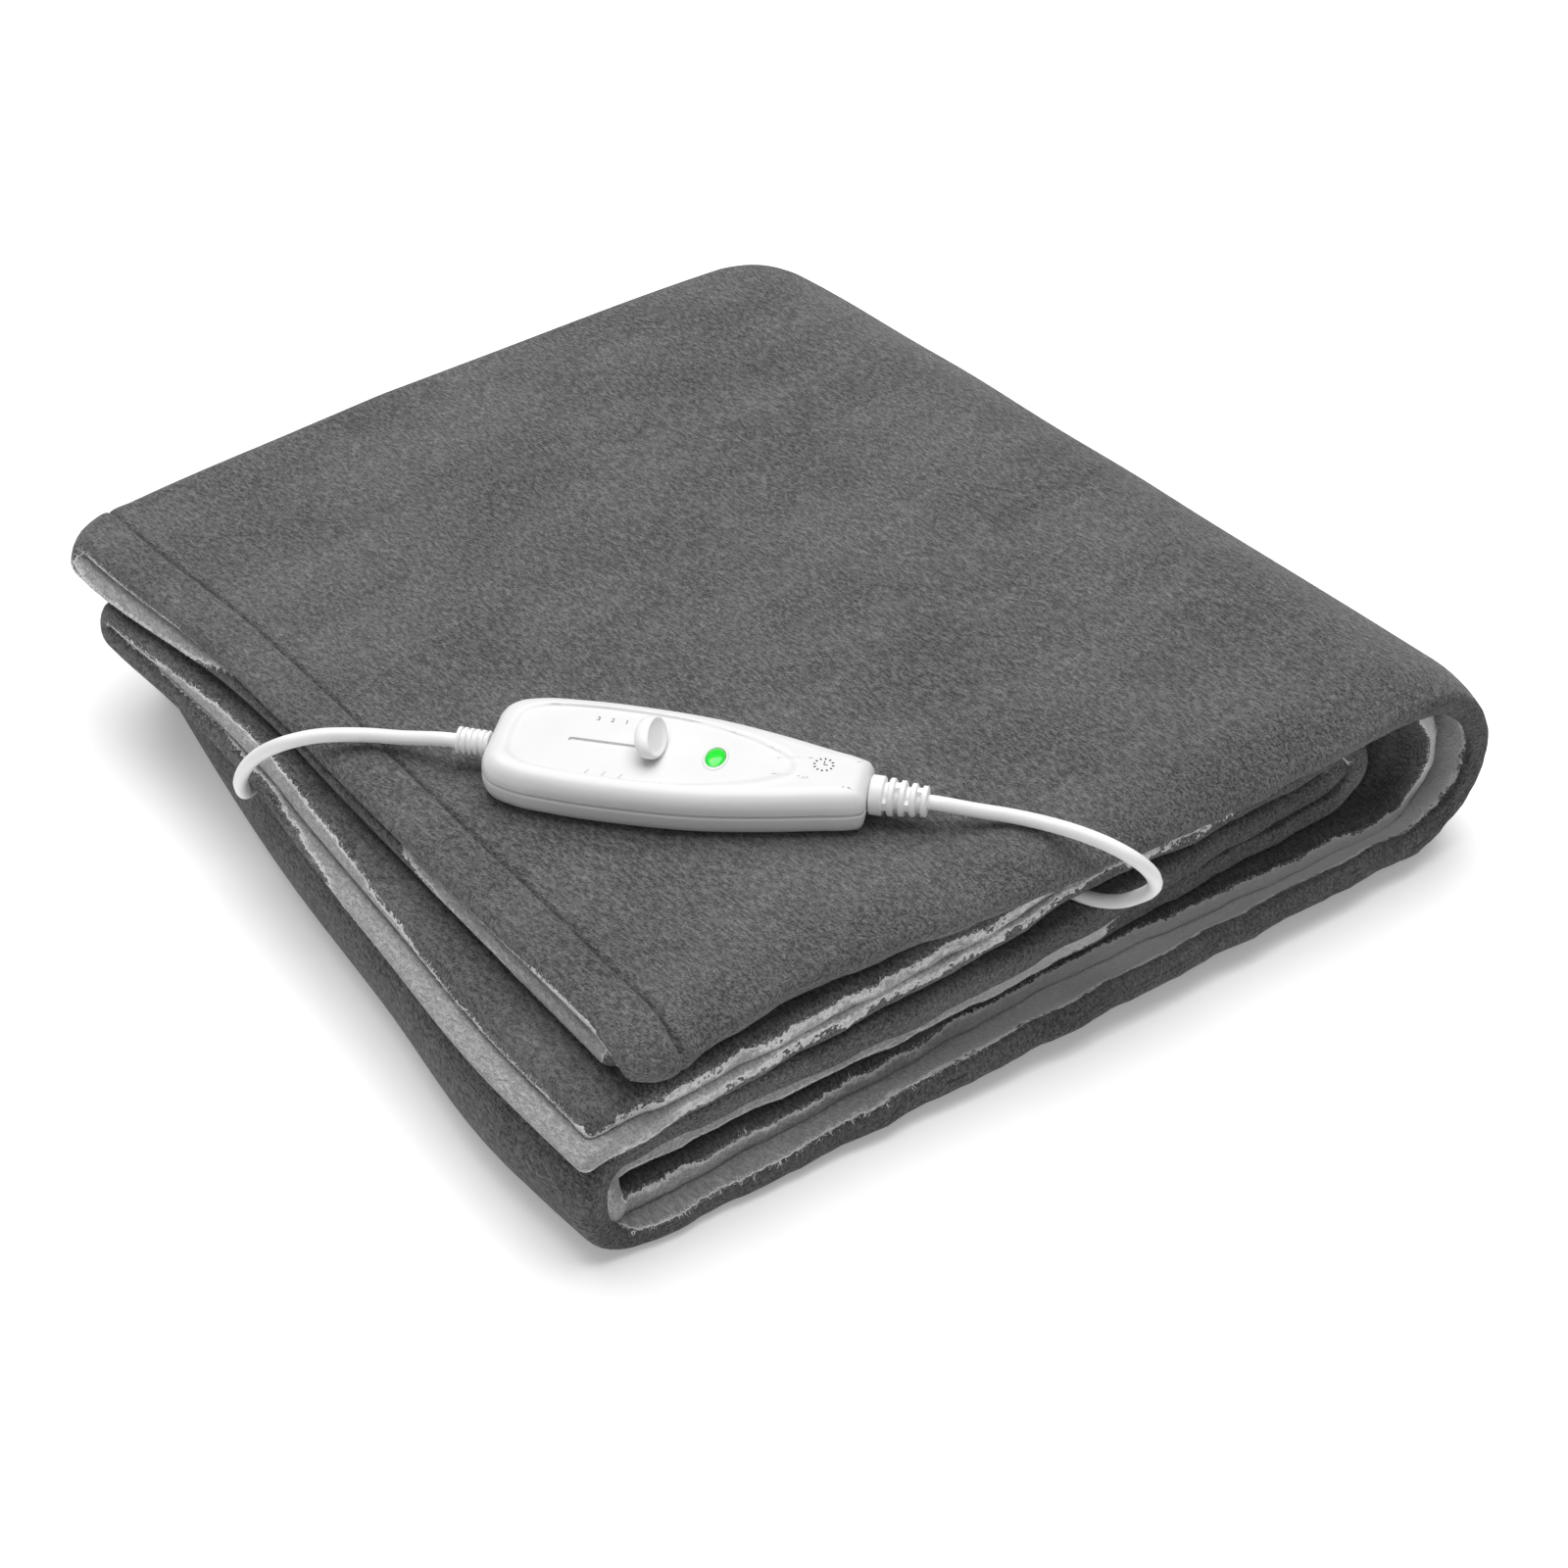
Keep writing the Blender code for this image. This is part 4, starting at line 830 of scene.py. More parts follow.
def ply_section(front_y, middle, curl, depth, side):
    """A ply behind its front edge: height = side (middle - curl b^2), b falling over CURL_REACH."""
    bend = np.clip(1 - depth / CURL_REACH, 0, 1)
    y = front_y + PLY / 2 + depth
    return y, side * (middle - curl * bend ** 2), side * 2 * curl / CURL_REACH * bend


# %% Unevenness of the open edges
def ripple(along, seed, size, long_wave=46.0):
    """Smooth random waviness: a sum of sines whose lengths halve, with fixed phases."""
    draw = np.random.default_rng(seed)
    total = np.zeros(np.shape(along))
    for octave in range(4):
        length = long_wave / 1.9 ** octave * draw.uniform(0.8, 1.25)
        total += np.sin(2 * np.pi * along / length + draw.uniform(0, 6.28)) / 1.7 ** octave
    return size * total / 2.0


def walked_line(lines):
    """Millimetres walked along the fold line, for ripples of an even length."""
    x, z = fold_line(lines, np.full(lines.shape, 20.0))
    return np.concatenate(((0,), np.cumsum(np.hypot(np.diff(x), np.diff(z)))))


# %% The U-shaped section
def cloth_grid(lines, rim_depths, shares, back_angles):
    """Rows along the fold line, columns from the outer ply's front edge round to the other's.

    Gives each point's y and height, and the direction across the ply towards its dark face.
    """
    outer_y, other_y, outer_curl, other_curl, back_y = (
        column[:, None] for column in rows_at(RIM_ROWS, lines))
    walked = walked_line(lines)[:, None]
    outer_y = outer_y + ripple(walked, 11, 0.9)
    other_y = other_y + ripple(walked, 12, 0.9)
    half = half_thickness(lines)[:, None]
    middle = half - PLY / 2
    back_centre = back_y - half
    shared = SHARED_FROM + shares * (back_centre - SHARED_FROM)

    def run(front_y, curl, side):
        depth = np.hstack((rim_depths + 0 * front_y, shared - front_y - PLY / 2))
        return ply_section(front_y, middle, np.maximum(curl, 0), depth, side)

    top = run(outer_y, outer_curl, 1)
    low = run(other_y, other_curl, -1)
    back = np.radians(back_angles)[None, :]
    y = np.hstack((top[0], back_centre + middle * np.cos(back), low[0][:, ::-1]))
    height = np.hstack((top[1], middle * np.sin(back), low[1][:, ::-1]))
    top_long, low_long = np.hypot(1, top[2]), np.hypot(1, low[2])
    out_y = np.hstack((-top[2] / top_long, np.cos(back) + 0 * middle, (low[2] / low_long)[:, ::-1]))
    out_h = np.hstack((1 / top_long, np.sin(back) + 0 * middle, -(1 / low_long)[:, ::-1]))
    return y, height, out_y, out_h


# %% Into the pile
def place(line, y, height, middle):
    """A point of the section as x, y and z in the pile."""
    _, _, _, _, _, droop, step = rows_at(EDGE_ROWS, y)
    x, z = fold_line(line, y)
    along_x, along_z, up_x, up_z = across_line(line, y)
    near_hem = np.clip(1 - np.clip(line, 0, 1) * TOP_RUN / END_REACH, 0, 1)
    near_end = np.clip(1 - np.clip(7 - line, 0, 1) * UNDER_RUN / END_REACH, 0, 1)
    outer_share = np.clip(height / middle, -1, 1) / 2 + 0.5
    height = height - np.where(line < 1, droop * near_hem ** 2, 0) * outer_share
    hem_out = -HEM_SLIDE * smooth_step((y - HEM_SLIDE_FROM) / HEM_SLIDE_OVER) * near_hem
    slide = np.where(line < 1, hem_out, 0) + np.where(line > 6, -step * near_end, 0)
    slide = slide * (1 - outer_share)
    x = x + height * up_x + slide * along_x
    z = z + height * up_z + slide * along_z
    leaving = np.clip((1.6 - line) / 0.6, 0, 1)
    coming = np.clip((line - 5.2) / 0.8, 0, 1)
    wave_share = smooth_step(leaving + coming) * np.where(line > 3, SECOND_WAVE, 1)
    z = (z + room_for_leads(x, y, z)) * squeeze(x, y) + waves(x, y) * wave_share
    return np.stack((x, y, z), axis=-1)


def end_taper(line):
    """Share of the ply's thickness at an end: a half circle, sqrt(1 - (1 - g)^2)."""
    gap = np.minimum(np.clip(line, 0, 1) * TOP_RUN, np.clip(7 - line, 0, 1) * UNDER_RUN)
    inside = np.clip(gap / (PLY / 2), 0, 1)
    return np.maximum(np.sqrt(1 - (1 - inside) ** 2), THIN_END)


# %% [markdown]
# ### The hem's seam and the wrinkles at the right edge
# The hem is folded in and sewn 18 mm from the edge, and the thread pulls the plush down into a
# narrow groove between two low puffs. At the right edge the outer ply is gathered into fine
# wrinkles that run round with the fold.

# %% Seam and wrinkles
SEAM_FROM_HEM = 18.0
SEAM_DEPTH, SEAM_WIDTH = 1.5, 0.7
SEAM_FAR = 99.0          # where there is no seam
SEAM_PUFF, SEAM_PUFF_REACH = 0.45, 7.0
WRINKLE_DEPTH = 0.32
FULL_EDGE, FULL_REACH = 0.75, 12.0       # the fleece stands fuller near an edge and closes the gap
PALE_CORNER = 0.32       # power of sine and cosine on an edge's pale side; 1 would be round
WRINKLES = 7.0           # wrinkles on an edge's half circle


def seam_gap(line, y):
    """Millimetres from the seam, which wanders a little."""
    return line * TOP_RUN - SEAM_FROM_HEM + ripple(y, 21, 0.35, 60.0)


def seam_pull(line, y):
    """Depth of the seam's groove: d exp(-(g / w)^2) less the puff beside it, g from the seam."""
    gap = seam_gap(line, y)
    groove = SEAM_DEPTH * np.exp(-(gap / SEAM_WIDTH) ** 2)
    puff = SEAM_PUFF * np.exp(-((np.abs(gap) - SEAM_PUFF_REACH / 2) / SEAM_PUFF_REACH * 2) ** 2)
    return np.where(line < 1, groove - puff, 0)


def wrinkle_pull(line, turn):
    """Wrinkles of the outer ply's edge: d cos(n a) over the half circle, only round the fold."""
    share = smooth_step((line - 1.0) / 0.25) * smooth_step((2.75 - line) / 0.7)
    swing = 1.2 * np.sin(line * 14.0)
    return WRINKLE_DEPTH * share * np.cos(2 * WRINKLES * np.radians(turn) + swing) ** 2


# %% How far a point is from the pale line
def pale_distance(line, turn, front, other, y):
    """Millimetres from the line between plush and fleece, positive on the pale side.

    turn runs from 90 degrees on the dark face to -90 on the pale one; at an end the taper's own
    angle takes its place. The line lies at 90 - 180 share degrees, and a place behind the edge is
    farther from it by as much as it lies behind.
    """
    hem_gap = np.where(line < 1, line * TOP_RUN, 1e3)
    end_gap = np.where(line > 6, (7 - line) * UNDER_RUN, 1e3)
    gap = np.minimum(hem_gap, end_gap)
    shares = rows_at(FRONT_SHARES, line)
    spill = np.where(other, shares[2], 0)
    ends = rows_at(END_SHARES, y)
    front_share = np.where(other, shares[1], shares[0])
    hem_share = np.where(other, ends[1], ends[0])
    under_share = np.where(other, ends[3], ends[2])
    end_share = np.where(hem_gap < end_gap, hem_share, under_share)
    near_end = np.clip(1 - gap / END_BLEND, 0, 1) ** 0.5 * smooth_step((y - front) / 8.0 + 0.4)
    share = front_share + (end_share - front_share) * near_end
    taper = np.arcsin(np.sqrt(1 - (1 - np.clip(gap / (PLY / 2), 0, 1)) ** 2)) / (np.pi / 2)
    around = np.radians(90 - 180 * share - turn * taper) * PLY / 2
    hung = np.radians(90 - 180 * spill + turn * taper) * PLY / 2
    behind = np.minimum(np.maximum(y - front - PLY / 2, 0), np.maximum(gap - PLY / 2, 0))
    on_face = np.abs(turn) > 89
    away = np.where((turn > 0) | (share > NO_FLEECE), -behind, behind)
    far = around + away * on_face
    return np.where(spill > 0.02, np.minimum(far, hung - behind * on_face), far)


# %% [markdown]
# ### Building the cloth
# The grid's rows are dense where the cloth turns or ends and at the seam, and its columns are
# dense at the edges, so that a fine mesh stays under the limit of faces.

# %% Stations of the grid
def walk(*stretches):
    """Joined runs of even steps: (from, to, steps) each, ends counted once."""
    runs = [np.linspace(start, end, steps, endpoint=False) for start, end, steps in stretches]
    return np.concatenate((*runs, (stretches[-1][1],)))


HEM_STEPS = walk((0, 0.5, 2), (0.5, 5, 8), (5, 13, 4), (13, 23, 16), (23, 45, 6), (45, 311, 62))
END_STEPS = walk((0, 0.5, 2), (0.5, 5, 8), (5, 45, 12), (45, 303, 58))
LINES = np.concatenate((
    HEM_STEPS / TOP_RUN, np.linspace(0.985, 1.985, 46), np.linspace(2.0, 2.985, 76),
    np.linspace(3.0, 3.985, 22), np.linspace(4.0, 4.975, 62), np.linspace(5.0, 5.985, 18),
    7 - END_STEPS[::-1] / UNDER_RUN))
RIM_DEPTHS = walk((0, 6, 5), (6, CURL_REACH, 4))
DEPTH_SHARES = np.linspace(0, 1, 28)
RIM_TURNS = np.linspace(84, -84, 25)
BACK_ANGLES = np.linspace(75, -75, 9)


# %% The cloth's mesh
def build_cloth():
    """One closed mesh: dark face, other edge, pale face and outer edge make each ring."""
    y, height, out_y, out_h = cloth_grid(LINES, RIM_DEPTHS, DEPTH_SHARES, BACK_ANGLES)
    middle = half_thickness(LINES)[:, None] - PLY / 2
    thick = (PLY / 2 * end_taper(LINES))[:, None]
    line = LINES[:, None] + 0 * y
    columns = y.shape[1]
    across = np.arange(columns)[None, :] + 0 * line
    other = across > (columns - 1) / 2
    front = np.where(other, y[:, -1:], y[:, :1]) - PLY / 2
    dark_thick = thick - seam_pull(line, y) * (~other) * end_taper(line)
    dark = place(line, y + out_y * dark_thick, height + out_h * dark_thick, middle)
    behind_edge = np.clip(np.minimum(y - front - PLY / 2, 1e3) / FULL_REACH, 0, 1)
    full = thick + FULL_EDGE * end_taper(LINES)[:, None] * (1 - smooth_step(behind_edge))
    pale = place(line, y - out_y * full, height - out_h * full, middle)
    dark_far = pale_distance(line, 90 + 0 * line, front, other, y)
    pale_far = pale_distance(line, -90 + 0 * line, front, other, y)

    def edge(column, turn_round):
        """Half circle round a ply's front edge, from its dark to its pale face."""
        turn = RIM_TURNS[None, :] + 0 * LINES[:, None]
        at = LINES[:, None] + 0 * turn
        oy, oh = out_y[:, [column]], out_h[:, [column]]
        is_other = np.full(turn.shape, turn_round < 0)
        sewn = seam_pull(at, 0 * at) * np.cos(np.radians(turn) / 2) ** 2 * (at < 1)
        depth = thick - (sewn + wrinkle_pull(at, turn)) * (~is_other)
        cos, sin = np.cos(np.radians(turn)), np.sin(np.radians(turn))
        square = np.where(turn < 0, PALE_CORNER, 1.0)
        cos, sin = cos ** square, np.sign(sin) * np.abs(sin) ** square
        sin = sin * np.where(turn < 0, 1 + FULL_EDGE / (PLY / 2), 1)
        py = y[:, [column]] + depth * (-oh * turn_round * cos + oy * sin)
        ph = height[:, [column]] + depth * (oy * turn_round * cos + oh * sin)
        points = place(at, py, ph, middle)
        far = pale_distance(at, turn, front[:, [column]], is_other, py)
        return points, far

    outer_edge, outer_far = edge(0, 1)
    other_edge, other_far = edge(-1, -1)
    ring = np.concatenate((dark, other_edge, pale[:, ::-1], outer_edge[:, ::-1]), axis=1)
    far = np.concatenate((dark_far, other_far, pale_far[:, ::-1], outer_far[:, ::-1]), axis=1)
    rows, count = ring.shape[:2]
    quads = grid_quads(rows, count, close_columns=True)
    faces = quads.tolist()
    edges, start = len(RIM_TURNS), columns + len(RIM_TURNS)
    for row in (0, rows - 1):
        base = row * count
        k = np.arange(columns - 1)
        strip = np.stack((base + k, base + k + 1, base + start + columns - 2 - k,
                          base + start + columns - 1 - k), axis=1)
        faces += strip.tolist()
        faces.append([base + columns - 1 + k for k in range(edges + 2)])
        faces.append([base + start + columns - 1 + k for k in range(edges + 1)] + [base])
    mesh = mesh_of("cloth", pile_to_frame(ring), faces)
    seam = np.full(far.shape, SEAM_FAR)
    seam[:, :columns] = np.where(other | (line > 1), SEAM_FAR, np.abs(seam_gap(line, y)))
    for name, values in (("pale_mm", far), ("seam_mm", seam)):
        mark = mesh.attributes.new(name, "FLOAT", "POINT")
        mark.data.foreach_set("value", values.ravel().astype(np.float32))
    return mesh, ring, far


cloth_mesh, CLOTH_RING, PALE_FAR = build_cloth()
cloth = add_piece("blanket_cloth_folded", cloth_mesh, CLOTH,
                  stands_for=("blanket_cloth",))
print("cloth triangles", sum(len(face.vertices) - 2 for face in cloth_mesh.polygons))

# %% [markdown]
# ### Frayed fibres
# Where the plush is cut, the fleece's fibres stand out along the line. They are thousands of thin
# leaves, each a triangle pair, sprinkled along the places where `pale_mm` passes nought and
# leaning out of the surface. All of them together are one mesh made from arrays.

# %% Fibres
FIBRES_A_MM = 9.0
FIBRE_LONG = (0.9, 2.3)
FIBRE_WIDE = 0.26


def line_crossings(points, far):
    """Short straight pieces of the line: each grid face that it crosses gives one.

    On an edge from a to b the crossing lies at a + (b - a) fa / (fa - fb). A face with two such
    edges gives one piece, with the face's normal.
    """
    rows, count = far.shape
    quads = grid_quads(rows, count, close_columns=True)
    flat, value = points.reshape(-1, 3), far.ravel()
    corner, height = flat[quads], value[quads]
    after, after_height = np.roll(corner, -1, 1), np.roll(height, -1, 1)
    crosses = (height > 0) != (after_height > 0)
    share = height / np.where(crosses, height - after_height, 1)
    spot = corner + (after - corner) * share[..., None]
    good = crosses.sum(1) == 2
    first = crosses[good].argmax(1)
    last = 3 - crosses[good][:, ::-1].argmax(1)
    pick = np.arange(good.sum())
    across = corner[good]
    normal = np.cross(across[:, 2] - across[:, 0], across[:, 3] - across[:, 1])
    size = np.linalg.norm(normal, axis=1)
    keep = size > 1e-9
    normal = normal[keep] / size[keep, None]
    inner = np.where(height[good] > 0, 1.0, -1.0)[..., None] * corner[good]
    return spot[good][pick, first][keep], spot[good][pick, last][keep], normal, inner.sum(1)[keep]


def build_fibres(density, seed):
    """Leaves with two long sides: root - side, root + side, and a tip that leans at random."""
    draw = np.random.default_rng(seed)
    start, end, normal, to_pale = line_crossings(CLOTH_RING, PALE_FAR)
    length = np.linalg.norm(end - start, axis=1)
    total = int(length.sum() * density)
    which = draw.choice(len(length), total, p=length / length.sum())
    root = start[which] + (end - start)[which] * draw.random((total, 1))
    side = (end - start)[which] / length[which, None]
    up = normal[which]
    over = np.cross(up, side)
    over *= np.sign(np.einsum("ij,ij->i", over, to_pale[which]))[:, None]
    root = root + over * draw.normal(0.25, 0.45, (total, 1)) - up * 0.1
    lean = (up * draw.uniform(0.35, 1.0, (total, 1)) + side * draw.normal(0, 0.55, (total, 1))
            + over * draw.normal(-0.25, 0.55, (total, 1)))
    lean /= np.linalg.norm(lean, axis=1)[:, None]
    long = draw.uniform(*FIBRE_LONG, (total, 1))
    wide = side * FIBRE_WIDE / 2
    bend = up * draw.uniform(-0.25, 0.1, (total, 1)) * long
    middle = root + lean * long * 0.55
    tip = root + lean * long + bend
    points = np.stack((root - wide, root + wide, middle + wide * 0.7, middle - wide * 0.7, tip), 1)
    base = np.arange(total)[:, None] * 5
    quads = (base + np.array((0, 1, 2, 3))).tolist()
    tips = (base + np.array((3, 2, 4))).tolist()
    mesh = bpy.data.meshes.new("fibres")
    mesh.from_pydata(pile_to_frame(points).reshape(-1, 3).tolist(), [], quads + tips)
    mesh.shade_smooth()
    print("fibres", total, "along", round(float(length.sum())), "mm of line")
    return mesh


fibres = add_piece("frayed_edge_fibres", build_fibres(FIBRES_A_MM, 5), FIBRE)

# %% [markdown]
# ## The control's housing
# The control is two moulded halves that meet in a fine groove. Seen from above it is a long drop,
# so one table of half widths is its outline, and rings of that outline at rising heights make the
# rounded sides. The top half goes on over its edge to the middle, where a formula sinks the oval
# dish that the slider runs in.

# %% The control's sizes
CONTROL_AT = (102.5, 99.0)
CONTROL_TURN = math.radians(-48.0)
CONTROL_SEAT = TOP + 0.3
CONTROL_HEIGHT = 16.6
DISH_DEPTH = 0.9
DISH_FLOOR = CONTROL_HEIGHT - DISH_DEPTH
# place along the control, half its width there
OUTLINE_ROWS = (
    (-63.9, 11.0), (-62.8, 15.0), (-59.5, 19.0), (-52.0, 22.2), (-38.0, 24.0), (-14.0, 24.5),
    (10.0, 23.0), (32.0, 19.0), (50.0, 14.6), (60.0, 12.0), (63.0, 10.6), (63.9, 9.0),
)
DISH_ROWS = (
    (-58.4, 0.0), (-57.0, 6.0), (-55.0, 11.5), (-50.0, 15.6), (-38.0, 18.2), (-14.0, 18.6),
    (8.0, 16.2), (24.0, 11.4), (34.0, 6.4), (38.0, 2.5), (38.8, 0.0),
)
# height and inset of the rings that make each half's rounded edge
LOWER_RINGS = ((0.0, 4.6), (0.6, 2.8), (2.0, 1.2), (4.2, 0.3), (7.0, 0.0), (7.9, 0.1), (8.3, 0.6))
UPPER_RINGS = ((8.6, 0.6), (9.0, 0.1), (9.8, 0.0), (12.2, 0.3), (14.4, 1.4), (15.9, 3.2),
               (16.6, 5.6))
HOUSING_LENGTH = 63.9
HOUSING_SHARP, CUT_SHARP = 50, 38      # degrees from which an edge is drawn sharp
SLEEVE_HEIGHT = 9.0


def control_to_pile(points):
    """Turn the control's own u, v and height into the pile's x, y and z."""
    points = np.asarray(points, float)
    c, s = math.cos(CONTROL_TURN), math.sin(CONTROL_TURN)
    return np.stack((CONTROL_AT[0] + c * points[..., 0] - s * points[..., 1],
                     CONTROL_AT[1] + s * points[..., 0] + c * points[..., 1],
                     CONTROL_SEAT + points[..., 2]), axis=-1)


def control_to_frame(points):
    """The control's millimetres as the frame's metres."""
    return pile_to_frame(control_to_pile(points))


# %% Outlines
def half_outline(rows, count, end_points=0):
    """Points along one side of a table's outline, evenly walked, with its flat ends filled in."""
    table = np.array(rows, float)
    reach = np.concatenate(((0,), np.cumsum(np.hypot(*np.diff(table, axis=0).T))))
    along = rows_at(np.column_stack((reach, table)), np.linspace(0, reach[-1], count)).T
    first = np.stack((np.full(end_points, along[0, 0]),
                      np.linspace(0, along[0, 1], end_points, endpoint=False)), axis=1)
    last = np.stack((np.full(end_points, along[-1, 0]),
                     np.linspace(0, along[-1, 1], end_points, endpoint=False)[::-1]), axis=1)
    return np.vstack((first, along, last))


def closed_outline(rows, count, end_points=5):
    """The whole outline: one side and its mirror image."""
    side = half_outline(rows, count, end_points)
    return np.vstack((side, side[1:-1][::-1] * (1, -1)))


def moved_in(loop, inset):
    """An outline moved in along its normals: p - n d, n from the chord of the neighbours."""
    edge = np.roll(loop, -1, 0) - np.roll(loop, 1, 0)
    edge /= np.linalg.norm(edge, axis=1)[:, None]
    return loop + np.stack((edge[:, 1], -edge[:, 0]), axis=1) * inset


def inside_distance(points, loop):
    """Distance to the dish's outline: the least over its edges, positive inside its table."""
    start, end = loop, np.roll(loop, -1, 0)
    best = np.full(len(points), 1e9)
    for a, b in zip(start, end):
        along = b - a
        share = np.clip((points - a) @ along / max(along @ along, 1e-12), 0, 1)
        best = np.minimum(best, np.linalg.norm(points - a - share[:, None] * along, axis=1))
    half = np.interp(points[:, 0], np.array(DISH_ROWS)[:, 0], np.array(DISH_ROWS)[:, 1], 0, 0)
    return np.where(np.abs(points[:, 1]) < half, best, -best)


# %% Rings of a half
def ring_stack(rings, count, steps):
    """The outline at smoothly rising heights: (steps, points, 3)."""
    loop = closed_outline(OUTLINE_ROWS, count)
    keyed = np.column_stack((np.arange(len(rings)), np.array(rings)))
    height, inset = rows_at(keyed, np.linspace(0, len(rings) - 1, steps))
    return np.stack([np.column_stack((moved_in(loop, i), np.full(len(loop), h)))
                     for h, i in zip(height, inset)])


def inner_rings(edge, shares, middle=(-6.0, 0.0)):
    """Rings from an edge towards a middle point: m + (e - m) s."""
    return np.stack([edge * (s, s, 1) + np.array((*middle, 0)) * (1 - s) for s in shares])


# %% The dish's form
DISH_WALL = 2.6
DISH_LIP, DISH_LIP_WIDTH = 0.16, 1.3


def top_height(points):
    """Height of the top: the dish sinks by a smooth step over its wall, with a low lip round it."""
    inside = inside_distance(points, closed_outline(DISH_ROWS, 40, 0))
    sink = DISH_DEPTH * smooth_step((inside + DISH_WALL * 0.35) / DISH_WALL)
    lip = DISH_LIP * np.exp(-((inside + DISH_WALL * 0.7) / DISH_LIP_WIDTH) ** 2)
    return CONTROL_HEIGHT - sink + lip


def build_upper():
    """Upper half: side rings, then rings over the top whose height is the dish's formula."""
    sides = ring_stack(UPPER_RINGS, 72, 22)
    inward = inner_rings(sides[-1], np.concatenate((np.linspace(0.985, 0.3, 46), (0.2, 0.1, 0.03))))
    flat = inward[..., :2].reshape(-1, 2)
    inward[..., 2] = top_height(flat).reshape(inward.shape[:2])
    blend = smooth_step(np.linspace(0, 1, 4))[:, None]
    inward[:4, :, 2] = CONTROL_HEIGHT + (inward[:4, :, 2] - CONTROL_HEIGHT) * blend
    under = inner_rings(sides[0], (0.5, 0.85))
    rings = np.concatenate((under, sides, inward))
    return skin("control_upper", rings, control_to_frame, HOUSING_SHARP)


def build_lower():
    """Lower half: side rings, closed flat under and over."""
    sides = ring_stack(LOWER_RINGS, 72, 20)
    under = inner_rings(sides[0], (0.4, 0.8))
    over = inner_rings(sides[-1], (0.95, 0.5))
    rings = np.concatenate((under, sides, over))
    return skin("control_lower", rings, control_to_frame, HOUSING_SHARP)


# %% Cut the slot and the light's seat
SLOT_FROM, SLOT_TO, SLOT_WIDTH, SLOT_DEPTH = -36.0, -7.2, 2.3, 0.8
LIGHT_AT = 12.5
LIGHT_SIZE = (3.1, 4.9)
SEAT_GAP, SEAT_DEPTH = 0.25, 2.2
CUTTERS_TOP = CONTROL_HEIGHT + 2


def prism(name, loop, low, high):
    """An upright closed prism over an outline of u and v."""
    loop = np.asarray(loop, float)
    rings = np.stack([np.column_stack((loop, np.full(len(loop), h))) for h in (low, high)])
    return skin(name, rings, control_to_frame, HOUSING_SHARP)


def oval(centre, size, count=48):
    """Outline of an oval: c + (a cos t, b sin t)."""
    t = np.linspace(0, 2 * np.pi, count, endpoint=False)
    return np.stack((centre[0] + size[0] * np.cos(t), centre[1] + size[1] * np.sin(t)), axis=1)


def slot_outline(start, end, width, count=12):
    """A straight slot with half-round ends."""
    t = np.linspace(np.pi / 2, 3 * np.pi / 2, count)
    left = np.stack((start + width / 2 * np.cos(t), width / 2 * np.sin(t)), axis=1)
    return np.vstack((left, left[::-1] * (-1, 1) + (start + end, 0)))


def cut_mesh(mesh, cutters):
    """A mesh with prisms cut out of it exactly; the cutters are gone afterwards."""
    body = in_scene("cut_body", mesh)
    helpers = [in_scene("cutter", cutter) for cutter in cutters]
    for helper in helpers:
        cut = body.modifiers.new("cut", "BOOLEAN")
        cut.operation, cut.solver, cut.object = "DIFFERENCE", "EXACT", helper
        cut.use_self = True
    done = mesh_as_seen(body)
    for helper in (*helpers, body):
        bpy.data.objects.remove(helper, do_unlink=True)
    done.shade_smooth()
    done.set_sharp_from_angle(angle=math.radians(CUT_SHARP))
    done.name = mesh.name + "_cut"
    return done


slot_cutter = prism("slot", slot_outline(SLOT_FROM, SLOT_TO, SLOT_WIDTH),
                    DISH_FLOOR - SLOT_DEPTH, CUTTERS_TOP)
seat_cutter = prism("seat", oval((LIGHT_AT, 0), np.array(LIGHT_SIZE) + SEAT_GAP),
                    DISH_FLOOR - SEAT_DEPTH, CUTTERS_TOP)
add_piece("control_upper_shell", cut_mesh(build_upper(), (slot_cutter, seat_cutter)), HOUSING,
          stands_for=("control_upper",))
add_piece("control_lower_shell", build_lower(), HOUSING,
          stands_for=("control_lower",))

# %% [markdown]
# ## Slider, light and marks
# The slider is an oval disc that leans back, with a hollow face for the thumb. It is attached to
# its own body, level_slider. The light is a low dome in a raised oval rim. The level marks are
# plain figures, and the dial at the narrow end is a ring of ticks with two hands.

# %% Turned forms
def turned(profile, sides=64, bridge=None):
    """A profile of reach and radius carried round its axis: (reach, r cos t, r sin t)."""
    reach, radius = np.array(profile, float).T
    t = np.linspace(0, 2 * np.pi, sides, endpoint=False)
    spoke = radius[:, None] + 0 * t[None, :]
    if bridge is not None:
        spoke = bridge(reach[:, None], t[None, :], spoke)
    return np.stack((reach[:, None] + 0 * spoke, spoke * np.cos(t), spoke * np.sin(t)), axis=-1)


# %% The slider's knob
KNOB_AT = -9.5
KNOB_ASPECT = (1.22, 0.66)
KNOB_LEAN = math.radians(20)
KNOB_RISE = 4.9
KNOB_CLEAR = 0.3         # from the dish to the knob's flat foot
KNOB_SHARP = 55
# place along the control and radius: round the back, the rim and the hollow face
KNOB_PROFILE = ((-3.3, 0.05), (-3.25, 3.0), (-2.8, 5.6), (-1.7, 7.2), (-0.2, 7.9), (1.2, 8.0),
                (2.2, 7.8), (2.75, 7.3), (2.85, 6.8), (2.6, 6.3), (2.2, 5.2), (2.0, 3.0),
                (1.95, 0.05))


